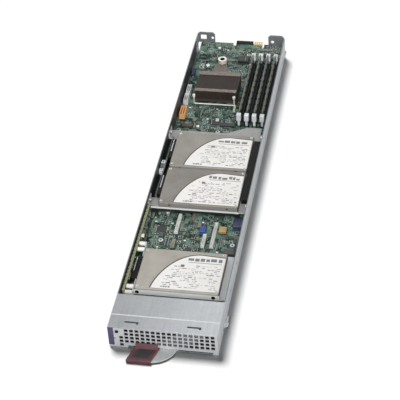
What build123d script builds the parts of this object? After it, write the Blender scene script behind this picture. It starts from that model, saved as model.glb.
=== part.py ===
"""Blade server sled: an open sheet-metal tray with a board, memory, a processor cooler and three drives.

Millimetres, +Z up, the perforated front panel faces -Y. The origin is the centre of the tray's underside.
"""

import os

from build123d import *

# Sheet metal and general clearances
SHEET = 1.0
SEAM = 0.3
SEAT = 0.1
CUT = 1.0
TRAY_HEIGHT = 31.0
BEND_RADIUS = 0.8

# 2.5-inch drives, long side across the tray
DRIVE_LENGTH = 100.45
DRIVE_DEPTH = 69.85
DRIVE_THICK = 7.0
DRIVE_CORNER = 2.0
DRIVE_PLUG_START = 17.0
DRIVE_PLUG_END = 14.85
DRIVE_PLUG_MARGIN = 1.0
DRIVE_SIDE_HOLE = 1.5
DRIVE_SIDE_HOLE_DEPTH = 3.0
DRIVE_SIDE_HOLE_INSET = 14.0

# Memory modules, their sockets and latches
DIMM_COUNT = 4
DIMM_LENGTH = 133.35
DIMM_HEIGHT = 18.75
DIMM_THICK = 1.27
DIMM_PITCH = 10.4
DIMM_WALL = 7.3
CHIP_COUNT = 9
CHIP_WIDTH = 9.5
CHIP_HEIGHT = 10.5
CHIP_THICK = 1.0
CHIP_END_MARGIN = 7.5
CHIP_RISE = 6.0
SOCKET_WIDTH = 6.5
SOCKET_HEIGHT = 7.5
SOCKET_FLOOR = 2.6
SOCKET_SLOT_GAP = 0.12
CHEEK_THICK = 1.4
CHEEK_HEIGHT = 9.0
LATCH_DEPTH = 5.0
LATCH_GAP = 0.5
LATCH_SIDE_GAP = 0.2
LATCH_HEAD_WIDTH = 5.8
LATCH_HEAD_GAP = 1.3
LATCH_TOP = 20.0
LATCH_FLARE = 0.9
LATCH_ROUND = 0.8
PIVOT_RISE = 3.0
PIVOT_RADIUS = 1.2
PIVOT_CLEARANCE = 0.05
HOOK_RISE = 9.5
HOOK_REACH = 0.9
HOOK_HALF = 0.8
NOTCH_RADIUS = 1.5

# Stations along the tray, each from the end of the one before
FLANGE_DEPTH = 21.5
HOOD_DEPTH = 32.2
HOOD_TO_DRIVE = 22.8
BOARD_BAY = 76.9
TRAY_LIP = 2.2
DRIVE_GAP = 4.05
TRAY_TAIL = 12.5
TRAY_TO_MEMORY = 30.5
REAR_BAY = 33.15
LEFT_GAP = 12.8
RIGHT_GAP = 10.75

MEMORY_DEPTH = DIMM_LENGTH + 2 * (LATCH_DEPTH + LATCH_GAP)
TRAY_LENGTH = (
    FLANGE_DEPTH + SEAM + HOOD_DEPTH + HOOD_TO_DRIVE + 3 * DRIVE_DEPTH + BOARD_BAY
    + TRAY_LIP + DRIVE_GAP + TRAY_TAIL + TRAY_TO_MEMORY + MEMORY_DEPTH + REAR_BAY
)
TRAY_WIDTH = 2 * SHEET + LEFT_GAP + DRIVE_LENGTH + RIGHT_GAP
HALF = TRAY_WIDTH / 2
INNER = HALF - SHEET

PANEL_Y = -TRAY_LENGTH / 2
PANEL_BACK = PANEL_Y + SHEET
FLANGE_Y = PANEL_Y + FLANGE_DEPTH
HOOD_Y0 = FLANGE_Y + SEAM
HOOD_Y1 = HOOD_Y0 + HOOD_DEPTH
FRONT_DRIVE_Y = HOOD_Y1 + HOOD_TO_DRIVE
FRONT_DRIVE_END = FRONT_DRIVE_Y + DRIVE_DEPTH
BAY_Y = FRONT_DRIVE_END + BOARD_BAY / 2
TRAY_Y0 = FRONT_DRIVE_END + BOARD_BAY
MIDDLE_DRIVE_Y = TRAY_Y0 + TRAY_LIP
REAR_DRIVE_Y = MIDDLE_DRIVE_Y + DRIVE_DEPTH + DRIVE_GAP
TRAY_Y1 = REAR_DRIVE_Y + DRIVE_DEPTH + TRAY_TAIL
MEMORY_Y = TRAY_Y1 + TRAY_TO_MEMORY + MEMORY_DEPTH / 2
REAR_Y = PANEL_Y + TRAY_LENGTH
DRIVE_X0 = -INNER + LEFT_GAP
DRIVE_X1 = DRIVE_X0 + DRIVE_LENGTH
DRIVE_PLUG_LENGTH = DRIVE_DEPTH - DRIVE_PLUG_START - DRIVE_PLUG_END

# Main board on standoffs, its tail runs out past the tray
STANDOFF_HEIGHT = 4.4
STANDOFF_RADIUS = 3.0
BOARD_THICK = 1.6
BOARD_SIDE_GAP = 1.5
BOARD_UNDER_DRIVE = 7.0
BOARD_TAIL = 18.0
TAIL_NOTCH = 4.0
TAIL_NOTCH_DEPTH = 6.0
TAIL_SLOT = 2.6
TAIL_SLOT_DEPTH = 12.0
SCREW_RADIUS = 1.4
SCREW_CLEARANCE = 0.15
SCREW_HEAD = 2.9
SCREW_HEAD_THICK = 1.7
BOARD_BOTTOM = SHEET + STANDOFF_HEIGHT
BOARD_TOP = BOARD_BOTTOM + BOARD_THICK
BOARD_X = INNER - BOARD_SIDE_GAP
BOARD_Y0 = FRONT_DRIVE_END - BOARD_UNDER_DRIVE
BOARD_Y1 = REAR_Y + BOARD_TAIL
BAY_SCREW_LEFT = 23.5
BAY_SCREW_RIGHT = 9.0
BAY_SCREW_SHIFT = 10.0
EDGE_SCREW = 5.0
TRAY_SCREW_SHIFT = 14.0
TRAY_SCREW_LEFT = 58.0
MEMORY_SCREW_LEFT = 12.0
MEMORY_SCREW_SHIFT = 62.0
REAR_SCREW_SHIFT = 12.0
REAR_SCREW_RIGHT = 48.0
BOARD_SCREWS = [
    (-BOARD_X + BAY_SCREW_LEFT, BAY_Y - BAY_SCREW_SHIFT),
    (BOARD_X - BAY_SCREW_RIGHT, BAY_Y - BAY_SCREW_SHIFT),
    (-BOARD_X + EDGE_SCREW, TRAY_Y1 + TRAY_SCREW_SHIFT),
    (-BOARD_X + TRAY_SCREW_LEFT, TRAY_Y1 + TRAY_SCREW_SHIFT),
    (-BOARD_X + MEMORY_SCREW_LEFT, MEMORY_Y + MEMORY_SCREW_SHIFT),
    (-BOARD_X + EDGE_SCREW, REAR_Y - REAR_SCREW_SHIFT),
    (BOARD_X - EDGE_SCREW, REAR_Y - REAR_SCREW_SHIFT),
    (BOARD_X - REAR_SCREW_RIGHT, REAR_Y - REAR_SCREW_SHIFT),
]

# Drive tray and front drive bracket
DRIVE_TRAY_RISE = 11.0
FRONT_PLATE_RISE = 6.0
PLATE_MARGIN = 1.0
LIP_DROP = 1.0
LIP_RISE = 1.6
LIP_LEFT = 10.5
WING_DEPTH = 15.0
WING_LEFT = 50.0
WING_SLOPE = 26.0
WING_WALL = 5.0
EAR_LENGTH = 18.0
EAR_FLANGE = 7.0
EAR_SETBACK = 1.0
EAR_SCREW_RISE = 3.5
PLATE_Z = BOARD_TOP + DRIVE_TRAY_RISE
FRONT_PLATE_Z = BOARD_TOP + FRONT_PLATE_RISE
BRACKET_FLANGE = 5.6
BRACKET_FLANGE_GAP = 1.0
BRACKET_HOLE = 1.7
BRACKET_HOLE_LEFT = 3.7
BRACKET_HOLE_RIGHT = 6.3
BRACKET_SCREW_INSET = 14.0
BRACKET_LEFT_SHEET = 0.8
BRACKET_LEFT_HEIGHT = 7.6
BRACKET_LEFT_REACH = 7.5
BRACKET_TAIL = 3.0
PLUG_WINDOW_GAP = 2.0
SPACER_RADIUS = 2.8
SPACER_RISE = 7.0
SPACER_PAIR = 10.0
SPACER_SHIFT = 1.0
SPACER_INSET = 9.5
GUIDE_GAP = 0.3
GUIDE_DROP = 3.0
GUIDE_RISE = 5.0
EAR_GAP = 1.0

# Upright boards along the left wall
UPRIGHT_THICK = 1.6
UPRIGHT_WALL_GAP = 2.4
UPRIGHT_TOP = 17.5
BACKPLANE_WALL_GAP = 5.7
BACKPLANE_TOP = 15.0
RISER_START = 12.0
RISER_END_GAP = 1.5
PLUG_END_GAP = 0.3
UPRIGHT_X0 = -INNER + UPRIGHT_WALL_GAP
UPRIGHT_X1 = UPRIGHT_X0 + UPRIGHT_THICK
BACKPLANE_X0 = -INNER + BACKPLANE_WALL_GAP
BACKPLANE_X1 = BACKPLANE_X0 + UPRIGHT_THICK

# Front panel
GRID_PITCH_X = 6.2
GRID_PITCH_Z = 5.7
GRID_HOLE = 4.3
GRID_LEFT = 20.9
GRID_RIGHT = 5.8
GRID_TOP = 4.2
GRID_BOTTOM = 9.0
SIDE_HOLES = 3
SIDE_DROP = 1
LANCE_LENGTH = 16.5
LANCE_DEPTH = 4.4
LANCE_SLIT = 2.8
LANCE_FROM_FRONT = 7.0
LANCE_LEFT = 26.0
LANCE_RIGHT = 28.0
RELIEF_LEFT = 9.0
RELIEF_RIGHT = 6.0
RELIEF_HEIGHT = 3.3
HOOD_TONGUE = 9.0
HOOD_OVERLAP = 4.0
HOOD_SKIRT = 6.0

# Front controls
BUTTON_INSET = 10.3
BUTTON_DROP = 6.6
BUTTON_RADIUS = 2.0
BUTTON_CLEARANCE = 0.08
BUTTON_PROUD = 0.9
BUTTON_TRAVEL = 0.8
BUTTON_LENGTH = 7.0
BUTTON_COLLAR = 3.2
BUTTON_COLLAR_THICK = 1.0
BUTTON_COLLAR_GAP = 0.3
SWITCH_SIZE = 6.0
SWITCH_THICK = 4.0
SWITCH_GAP = 0.2
PIPE_INSET = 7.6
PIPE_RISE = 13.6
PIPE_RADIUS = 1.2
PIPE_PROUD = 0.3
PIPE_CLEARANCE = 0.05
CONTROL_WIDTH = 18.0
CONTROL_TOP_GAP = 2.0
CONTROL_WALL_GAP = 0.5
TAB_WIDTH = 6.4
TAB_THICK = 1.2
TAB_BOTTOM = 4.0
TAB_TOP_GAP = 0.7

# Release lever
LEVER_THICK = 1.5
LEVER_LIFT = 0.4
LEVER_PIVOT_X = 17.0
LEVER_PIVOT_Y = 40.0
LEVER_EYE = 9.0
LEVER_PIN = 3.0
LEVER_PIN_CLEARANCE = 0.06
LEVER_WASHER = 6.0
LEVER_WASHER_THICK = 0.3
LEVER_HEAD = 5.5
LEVER_HEAD_THICK = 1.5
LEVER_HEAD_GAP = 0.2
TOOTH_REACH = 3.8
TOOTH_WIDTH = 5.5
TOOTH_RISE = 5.0
TOOTH_WINDOW_FRONT = 6.0
TOOTH_WINDOW_REAR = 26.0
TOOTH_WINDOW_HEIGHT = 5.0
GRIP_FRONT = 22.5
GRIP_BACK = 1.2
GRIP_WIDTH = 28.0
GRIP_SLANT = 7.0
GRIP_RIGHT = 50.0
GRIP_BOTTOM = 0.3
GRIP_TOP = 5.6
GRIP_WALL = 3.0
GRIP_ROUND = 0.6
GRIP_INSERT_DEPTH = 0.8
GRIP_INSERT_WALL = 4.2
GRIP_BROW = 5.4
GRIP_BROW_LIP = 0.8
NECK_RIGHT = 31.0
NECK_SHOULDER = 40.0
NECK_SHOULDER_Y = 15.0

# Processor and cooler
CPU_SIZE = 37.5
CPU_THICK = 2.0
CPU_LID = 30.0
CPU_LID_THICK = 1.5
HEATSINK_TO_HEADER = 7.9
HEATSINK_DEPTH = 42.0
HEATSINK_NOSE = 3.7
HEATSINK_TO_MEMORY = 7.25
HEATSINK_BASE = 3.0
FIN_COUNT = 38
FIN_THICK = 0.8
FIN_HEIGHT = 13.5
STRAP_THICK = 1.0
STRAP_FRONT = 5.5
STRAP_REAR = 7.5
CLIP_RADIUS = 0.9
CLIP_GAP = 1.2
CLIP_INSET = 2.8
CLIP_REACH = 1.7
CLIP_TAIL = 14.0
CLIP_TAIL_WIDTH = 2.8
CLIP_HEIGHT = 11.5
CLIP_HEAD = 1.8
CLIP_HEAD_LENGTH = 4.0
ARM_THICK = 1.2
ARM_WIDTH = 36.0
ARM_REACH = 47.0
ARM_SHIFT = 5.5
ARM_EYE = 6.2
ARM_POST = 2.2
ARM_POST_CLEARANCE = 0.2
ARM_CUP_HEIGHT = 5.2
ARM_CUP_INNER = 3.4
ARM_CUP_FLOOR = 1.0

# Board connectors
HEADER_WALL_GAP = 2.5
HEADER_WIDTH = 6.0
HEADER_LENGTH = 16.5
HEADER_HEIGHT = 8.0
HEADER_WALL = 1.2
HEADER_CAVITY = 5.0
HEADER_TONGUE = 1.2
HEADER_SHIFT = 2.7
HEADER_GAP = 4.0
BOOT_WIDTH = 7.6
BOOT_LENGTH = 20.0
BOOT_GAP = 12.0
FLEX_WIDTH = 4.2
FLEX_HEIGHT = 4.0
FLEX_SLOT = 1.2
FLEX_SLOT_DEPTH = 2.0
FLEX_SLOT_END = 2.0
FLEX_HEADERS = [("left", 39.6, 21.5, 34.0), ("right", 44.8, -6.5, 22.0), ("right", 33.9, 5.0, 44.0)]
BLUE_RIGHT = 48.9
BLUE_SHIFT = 12.0
BLUE_WIDTH = 8.0
BLUE_LENGTH = 11.0
BLUE_HEIGHT = 5.5
SIDE_WIDTH = 12.0
SIDE_LENGTH = 17.0
SIDE_HEIGHT = 6.0
SIDE_END_GAP = 2.5
SIDE_WALL_GAP = 2.5
SIGNAL_WIDTH = 24.0
SIGNAL_CENTRE = 2.2
SIGNAL_OVERHANG = 5.5
SIGNAL_FOOT = 2.0
SIGNAL_LIP = 0.9
SIGNAL_SLOT = 1.4
SIGNAL_SLOT_DEPTH = 4.0
PAD_COUNT = 4
PAD_WIDTH = 2.4
PAD_PITCH = 3.1
PAD_LENGTH = 9.0
PAD_THICK = 0.8
PAD_OVERHANG = 5.0
PAD_CENTRE = 22.0
BOARD_CHIPS = [
    ("right", 24.5, "bay", 15.0, 11.0, 11.0, 5.0),
    ("right", 10.0, "bay", -25.0, 15.0, 9.0, 5.0),
    ("left", 58.5, "bay", -26.0, 12.0, 12.0, 1.6),
    ("left", 20.5, "bay", 12.0, 14.0, 14.0, 1.4),
    ("left", 52.5, "tray", 36.0, 14.0, 14.0, 1.5),
    ("left", 28.5, "tray", 40.0, 10.0, 8.0, 1.2),
    ("right", 53.0, "memory_end", 6.825, 16.0, 14.0, 5.5),
    ("left", 16.5, "memory", 38.0, 8.0, 7.0, 1.2),
    ("left", 24.5, "rear", -16.0, 9.0, 9.0, 1.2),
    ("right", 18.5, "rear", -12.0, 8.0, 8.0, 1.2),
]
MEMORY_END = MEMORY_Y + MEMORY_DEPTH / 2
STATIONS = {"bay": BAY_Y, "tray": TRAY_Y1, "memory": MEMORY_Y, "memory_end": MEMORY_END, "rear": REAR_Y}

# Rear guide ears
EAR_LEFT_WIDTH = 25.0
EAR_RIGHT_WIDTH = 22.5
REAR_EAR_HEIGHT = 12.0
REAR_EAR_RISE = 5.0
REAR_EAR_CORNER = 3.0
REAR_EAR_FLANGE = 15.0
PIN_LEFT = 2.0
PIN_LEFT_INSET = 21.5
PIN_LEFT_DROP = 4.0
PIN_RIGHT = 2.25
PIN_RIGHT_INSET = 16.5
PIN_RIGHT_DROP = 6.0
SLOT_WIDTH = 8.3
SLOT_HEIGHT = 7.4
SLOT_INSET = 8.5
SLOT_DROP = 3.2


def block(x, y, z, mode=Mode.ADD):
    """A box from the low to the high value along each axis."""
    with Locations(((x[0] + x[1]) / 2, (y[0] + y[1]) / 2, (z[0] + z[1]) / 2)):
        Box(x[1] - x[0], y[1] - y[0], z[1] - z[0], mode=mode)


def from_edge(side, inset):
    """The x of a point set in from the board's left or right edge."""
    return -BOARD_X + inset if side == "left" else BOARD_X - inset


def around(middle, size):
    """The low and high value of a span about its middle."""
    return (middle - size / 2, middle + size / 2)


def rod_x(x, y, z, radius, mode=Mode.ADD):
    """A cylinder along X between two x values."""
    with Locations(((x[0] + x[1]) / 2, y, z)):
        Cylinder(radius, x[1] - x[0], rotation=(0, 90, 0), mode=mode)


def rod_y(x, y, z, radius, mode=Mode.ADD):
    """A cylinder along Y between two y values."""
    with Locations((x, (y[0] + y[1]) / 2, z)):
        Cylinder(radius, y[1] - y[0], rotation=(90, 0, 0), mode=mode)


def rod_z(x, y, z, radius, mode=Mode.ADD):
    """A cylinder along Z between two z values."""
    with Locations((x, y, (z[0] + z[1]) / 2)):
        Cylinder(radius, z[1] - z[0], mode=mode)


os.makedirs("parts", exist_ok=True)


def save(builder, label):
    """Label a finished sub-part and write its file."""
    builder.part.label = label
    export_step(builder.part, f"parts/{label}.step")


# Screws through the side walls: the four ears of the drive tray and the front bracket's right flange
EAR_YS = [(TRAY_Y0 + EAR_SETBACK, TRAY_Y0 + EAR_SETBACK + EAR_LENGTH), (TRAY_Y1 - EAR_LENGTH, TRAY_Y1)]
EAR_SCREW_Z = PLATE_Z + EAR_SCREW_RISE
BRACKET_Y0 = FRONT_DRIVE_Y - BRACKET_FLANGE_GAP - SHEET
BRACKET_Y1 = FRONT_DRIVE_END + BRACKET_TAIL
BRACKET_SCREW_YS = [BRACKET_Y0 + BRACKET_SCREW_INSET, BRACKET_Y1 - BRACKET_SCREW_INSET]
BRACKET_SCREW_Z = FRONT_PLATE_Z + EAR_SCREW_RISE
WALL_SCREWS = [(side, sum(span) / 2, EAR_SCREW_Z) for side in (-1, 1) for span in EAR_YS]
WALL_SCREWS += [(1, y, BRACKET_SCREW_Z) for y in BRACKET_SCREW_YS]
SCREW_HOLE = SCREW_RADIUS + SCREW_CLEARANCE

PIVOT_X = HALF - LEVER_PIVOT_X
PIVOT_Y = PANEL_Y + LEVER_PIVOT_Y
GRIP_X1 = PIVOT_X - GRIP_RIGHT
GRIP_X0 = GRIP_X1 - GRIP_WIDTH

# Tray: floor and two side walls, lower under the hood, with a window for the lever's tooth
with BuildPart() as chassis_tray:
    block((-HALF, HALF), (PANEL_BACK, REAR_Y), (0, TRAY_HEIGHT))
    block((-INNER, INNER), (PANEL_BACK - CUT, REAR_Y + CUT), (SHEET, TRAY_HEIGHT + CUT), Mode.SUBTRACT)
    fillet(chassis_tray.edges().filter_by(Axis.Y).group_by(Axis.Z)[0], BEND_RADIUS)
    block(
        (-HALF - CUT, HALF + CUT),
        (PANEL_BACK - CUT, HOOD_Y1),
        (TRAY_HEIGHT - SHEET, TRAY_HEIGHT + CUT),
        Mode.SUBTRACT,
    )
    block(
        (INNER - SHEET, HALF + CUT),
        (PIVOT_Y - TOOTH_WINDOW_FRONT, PIVOT_Y + TOOTH_WINDOW_REAR),
        (SHEET, SHEET + TOOTH_WINDOW_HEIGHT),
        Mode.SUBTRACT,
    )
    for side, screw_y, screw_z in WALL_SCREWS:
        rod_x(around(side * HALF, 4 * SHEET), screw_y, screw_z, SCREW_HOLE, Mode.SUBTRACT)
save(chassis_tray, "chassis_tray")

# Rear guide ears, folded in from the walls
EAR_Z = (TRAY_HEIGHT - REAR_EAR_HEIGHT, TRAY_HEIGHT)
EAR_Y = (REAR_Y - SHEET, REAR_Y)
EAR_PLATE_Z = (EAR_Z[0], EAR_Z[1] + REAR_EAR_RISE)
with BuildPart() as rear_guide_left:
    block((-INNER, -INNER + EAR_LEFT_WIDTH), EAR_Y, EAR_PLATE_Z)
    chamfer(rear_guide_left.edges().filter_by(Axis.Y).group_by(Axis.Z)[-1], REAR_EAR_CORNER)
    block((-INNER, -INNER + SHEET), (REAR_Y - REAR_EAR_FLANGE, REAR_Y), EAR_Z)
    rod_y(
        -INNER + PIN_LEFT_INSET, (REAR_Y - 2 * SHEET, REAR_Y + CUT), TRAY_HEIGHT - PIN_LEFT_DROP, PIN_LEFT,
        Mode.SUBTRACT,
    )
    block(
        around(-INNER + SLOT_INSET, SLOT_WIDTH),
        (REAR_Y - 2 * SHEET, REAR_Y + CUT),
        around(TRAY_HEIGHT - SLOT_DROP, SLOT_HEIGHT),
        Mode.SUBTRACT,
    )
save(rear_guide_left, "rear_guide_left")

with BuildPart() as rear_guide_right:
    block((INNER - EAR_RIGHT_WIDTH, INNER), EAR_Y, EAR_PLATE_Z)
    chamfer(rear_guide_right.edges().filter_by(Axis.Y).group_by(Axis.Z)[-1], REAR_EAR_CORNER)
    block((INNER - SHEET, INNER), (REAR_Y - REAR_EAR_FLANGE, REAR_Y), EAR_Z)
    rod_y(
        INNER - PIN_RIGHT_INSET, (REAR_Y - 2 * SHEET, REAR_Y + CUT), TRAY_HEIGHT - PIN_RIGHT_DROP, PIN_RIGHT,
        Mode.SUBTRACT,
    )
save(rear_guide_right, "rear_guide_right")

# Front panel: square-hole grid and a relief for the lever along the bottom
BUTTON_X = -HALF + BUTTON_INSET
BUTTON_Z = TRAY_HEIGHT - BUTTON_DROP
PIPE_X = -HALF + PIPE_INSET
GRID_COLUMNS = int((TRAY_WIDTH - GRID_LEFT - GRID_RIGHT) / GRID_PITCH_X) + 1
GRID_ROWS = int((TRAY_HEIGHT - GRID_TOP - GRID_BOTTOM) / GRID_PITCH_Z) + 1
GRID_X = HALF - GRID_RIGHT - (GRID_COLUMNS - 1) * GRID_PITCH_X / 2
GRID_Z = TRAY_HEIGHT - GRID_TOP - (GRID_ROWS - 1) * GRID_PITCH_Z / 2
SIDE_X = GRID_X - (GRID_COLUMNS + 1) * GRID_PITCH_X / 2
SIDE_Z = GRID_Z - (GRID_ROWS - SIDE_HOLES + 2 * SIDE_DROP) * GRID_PITCH_Z / 2
LANCE_Y = PANEL_Y + LANCE_FROM_FRONT
with BuildPart() as front_panel:
    block((-HALF, HALF), (PANEL_Y, PANEL_BACK), (0, TRAY_HEIGHT - SHEET))
    with BuildSketch(Plane.XZ.offset(-PANEL_BACK)):
        with Locations((GRID_X, GRID_Z)):
            with GridLocations(GRID_PITCH_X, GRID_PITCH_Z, GRID_COLUMNS, GRID_ROWS):
                Rectangle(GRID_HOLE, GRID_HOLE)
        with Locations((SIDE_X, SIDE_Z)):
            with GridLocations(GRID_PITCH_X, GRID_PITCH_Z, 1, SIDE_HOLES):
                Rectangle(GRID_HOLE, GRID_HOLE)
    extrude(amount=SHEET + CUT, mode=Mode.SUBTRACT)
    block(
        (GRIP_X0 - RELIEF_LEFT, HALF - RELIEF_RIGHT),
        (PANEL_Y - CUT, PANEL_BACK + CUT),
        (-CUT, RELIEF_HEIGHT),
        Mode.SUBTRACT,
    )
    rod_y(
        BUTTON_X, (PANEL_Y - CUT, PANEL_BACK + CUT), BUTTON_Z, BUTTON_RADIUS + BUTTON_CLEARANCE, Mode.SUBTRACT
    )
    rod_y(
        PIPE_X, (PANEL_Y - CUT, PANEL_BACK + CUT), PIPE_RISE, PIPE_RADIUS + PIPE_CLEARANCE, Mode.SUBTRACT
    )
save(front_panel, "front_panel")

# Top flange over the panel, with two lanced catches for the hood
with BuildPart() as panel_flange:
    block((-HALF, HALF), (PANEL_Y, FLANGE_Y), (TRAY_HEIGHT - SHEET, TRAY_HEIGHT))
    fillet(
        panel_flange.edges().filter_by(Axis.X).group_by(Axis.Z)[-1].group_by(Axis.Y)[0], BEND_RADIUS
    )
    for lance_x in (-HALF + LANCE_LEFT, HALF - LANCE_RIGHT):
        block(
            around(lance_x, LANCE_LENGTH),
            (LANCE_Y + LANCE_DEPTH - LANCE_SLIT, LANCE_Y + LANCE_DEPTH),
            (TRAY_HEIGHT - 2 * SHEET, TRAY_HEIGHT + CUT),
            Mode.SUBTRACT,
        )
        block(
            (lance_x + LANCE_LENGTH / 2 - LANCE_SLIT, lance_x + LANCE_LENGTH / 2),
            (LANCE_Y, LANCE_Y + LANCE_DEPTH),
            (TRAY_HEIGHT - 2 * SHEET, TRAY_HEIGHT + CUT),
            Mode.SUBTRACT,
        )
save(panel_flange, "panel_flange")

# Hood behind the panel's flange, its tongue passes under the flange
with BuildPart() as front_hood:
    block((-HALF, HALF), (HOOD_Y0, HOOD_Y1), (TRAY_HEIGHT - SHEET, TRAY_HEIGHT))
    block(
        (-INNER + SEAM, INNER - SEAM),
        (FLANGE_Y - HOOD_TONGUE, HOOD_Y0 + HOOD_OVERLAP),
        (TRAY_HEIGHT - 2 * SHEET, TRAY_HEIGHT - SHEET),
    )
    block(
        (-INNER + SEAM, INNER - SEAM),
        (HOOD_Y1 - SHEET, HOOD_Y1),
        (TRAY_HEIGHT - SHEET - HOOD_SKIRT, TRAY_HEIGHT - SHEET),
    )
save(front_hood, "front_hood")

# Coloured end cap on the panel
with BuildPart() as end_cap:
    block(
        (-HALF, -HALF + TAB_WIDTH),
        (PANEL_Y - TAB_THICK, PANEL_Y),
        (TAB_BOTTOM, TRAY_HEIGHT - TAB_TOP_GAP),
    )
    fillet(end_cap.edges().filter_by(Axis.Z).group_by(Axis.Y)[0], TAB_THICK / 2)
save(end_cap, "end_cap")

# Power button, the switch behind it, a light pipe and the board that carries them
BUTTON_FRONT = PANEL_Y - BUTTON_PROUD
BUTTON_BACK = BUTTON_FRONT + BUTTON_LENGTH
SWITCH_FRONT = BUTTON_BACK + BUTTON_TRAVEL + SWITCH_GAP
CONTROL_Y0 = SWITCH_FRONT + SWITCH_THICK
COLLAR_Y = PANEL_BACK + BUTTON_COLLAR_GAP
with BuildPart() as power_button:
    rod_y(BUTTON_X, (BUTTON_FRONT, BUTTON_BACK), BUTTON_Z, BUTTON_RADIUS)
    fillet(power_button.edges().filter_by(GeomType.CIRCLE).group_by(Axis.Y)[0], BUTTON_PROUD / 3)
    rod_y(BUTTON_X, (COLLAR_Y, COLLAR_Y + BUTTON_COLLAR_THICK), BUTTON_Z, BUTTON_COLLAR)
save(power_button, "power_button")

with BuildPart() as power_switch:
    block(around(BUTTON_X, SWITCH_SIZE), (SWITCH_FRONT, CONTROL_Y0), around(BUTTON_Z, SWITCH_SIZE))
save(power_switch, "power_switch")

with BuildPart() as status_light_pipe:
    rod_y(PIPE_X, (PANEL_Y - PIPE_PROUD, CONTROL_Y0), PIPE_RISE, PIPE_RADIUS)
save(status_light_pipe, "status_light_pipe")

with BuildPart() as control_board:
    block(
        (-INNER + CONTROL_WALL_GAP, -INNER + CONTROL_WALL_GAP + CONTROL_WIDTH),
        (CONTROL_Y0, CONTROL_Y0 + BOARD_THICK),
        (SHEET, TRAY_HEIGHT - 2 * SHEET - CONTROL_TOP_GAP),
    )
save(control_board, "control_board")

# Release lever: a flat arm that swings out under the panel, a tooth at the wall and a moulded grip
LEVER_Z = (SHEET + LEVER_LIFT, SHEET + LEVER_LIFT + LEVER_THICK)
GRIP_Y0 = PANEL_Y - GRIP_BACK - GRIP_FRONT
GRIP_Y1 = PANEL_Y - GRIP_BACK


def grip_outline(wall):
    """The grip's slanted outline, drawn in by a wall thickness."""
    return [
        (GRIP_X0 + wall, GRIP_Y1 - wall),
        (GRIP_X1 - wall, GRIP_Y1 - wall),
        (GRIP_X1 - GRIP_SLANT - wall, GRIP_Y0 + wall),
        (GRIP_X0 - GRIP_SLANT + wall, GRIP_Y0 + wall),
    ]


TOOTH_Y = PIVOT_Y + TOOTH_RISE
NECK_X = PIVOT_X - NECK_RIGHT
SHOULDER = (PIVOT_X - NECK_SHOULDER, PANEL_Y - NECK_SHOULDER_Y)
NECK_TIP = (GRIP_X1 - GRIP_SLANT, GRIP_Y0 + GRIP_WALL / 2)
with BuildPart() as release_lever:
    with BuildSketch(Plane.XY.offset(LEVER_Z[0])):
        with Locations((PIVOT_X, PIVOT_Y)):
            Circle(LEVER_EYE)
        with BuildLine():
            Polyline(
                (PIVOT_X + LEVER_EYE * 0.7, PIVOT_Y - LEVER_EYE * 0.7),
                (NECK_X, PANEL_Y - GRIP_BACK),
            )
            ThreePointArc((NECK_X, PANEL_Y - GRIP_BACK), SHOULDER, NECK_TIP)
            Polyline(
                NECK_TIP,
                (GRIP_X0 - GRIP_SLANT + GRIP_WALL, GRIP_Y0 + GRIP_WALL),
                (GRIP_X0 + GRIP_WALL, GRIP_Y1 - GRIP_WALL),
                (GRIP_X1 - GRIP_WALL, PANEL_BACK + LEVER_EYE),
                (PIVOT_X - LEVER_EYE * 0.7, PIVOT_Y + LEVER_EYE * 0.7),
                (PIVOT_X + LEVER_EYE * 0.7, PIVOT_Y - LEVER_EYE * 0.7),
            )
        make_face()
        with BuildLine():
            Polyline(
                (PIVOT_X, PIVOT_Y + LEVER_EYE * 0.9),
                (HALF + TOOTH_REACH, TOOTH_Y + TOOTH_WIDTH),
                (HALF + TOOTH_REACH, TOOTH_Y),
                (PIVOT_X + LEVER_EYE * 0.7, PIVOT_Y - LEVER_EYE * 0.6),
                close=True,
            )
        make_face()
        with Locations((PIVOT_X, PIVOT_Y)):
            Circle(LEVER_PIN + LEVER_PIN_CLEARANCE, mode=Mode.SUBTRACT)
    extrude(amount=LEVER_THICK)
save(release_lever, "release_lever")

with BuildPart() as lever_grip:
    with BuildSketch(Plane.XY.offset(GRIP_BOTTOM)):
        with BuildLine():
            Polyline(*grip_outline(0), close=True)
        make_face()
    extrude(amount=GRIP_TOP - GRIP_BOTTOM)
    fillet(lever_grip.edges().group_by(Axis.Z)[-1], GRIP_ROUND)
    with BuildSketch(Plane.YZ.offset(GRIP_X0 + GRIP_ROUND)):
        with BuildLine():
            Polyline(
                (GRIP_Y1 - GRIP_INSERT_WALL, GRIP_TOP - GRIP_INSERT_DEPTH),
                (GRIP_Y1 - GRIP_INSERT_WALL, GRIP_TOP),
                (GRIP_Y1 - GRIP_ROUND - GRIP_BROW_LIP, GRIP_TOP + GRIP_BROW),
                (GRIP_Y1 - GRIP_ROUND, GRIP_TOP + GRIP_BROW),
                (GRIP_Y1 - GRIP_ROUND, GRIP_TOP - GRIP_INSERT_DEPTH),
                close=True,
            )
        make_face()
    extrude(amount=GRIP_WIDTH - GRIP_SLANT * GRIP_INSERT_WALL / GRIP_FRONT - 2 * GRIP_ROUND)
    with BuildSketch(Plane.XY.offset(GRIP_TOP - GRIP_INSERT_DEPTH)):
        with BuildLine():
            Polyline(*grip_outline(GRIP_INSERT_WALL), close=True)
        make_face()
    extrude(amount=GRIP_INSERT_DEPTH + CUT, mode=Mode.SUBTRACT)
    add(release_lever.part, mode=Mode.SUBTRACT)
save(lever_grip, "lever_grip")

with BuildPart() as grip_insert:
    with BuildSketch(Plane.XY.offset(GRIP_TOP - GRIP_INSERT_DEPTH)):
        with BuildLine():
            Polyline(*grip_outline(GRIP_INSERT_WALL), close=True)
        make_face()
    extrude(amount=GRIP_INSERT_DEPTH / 2)
save(grip_insert, "grip_insert")

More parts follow.
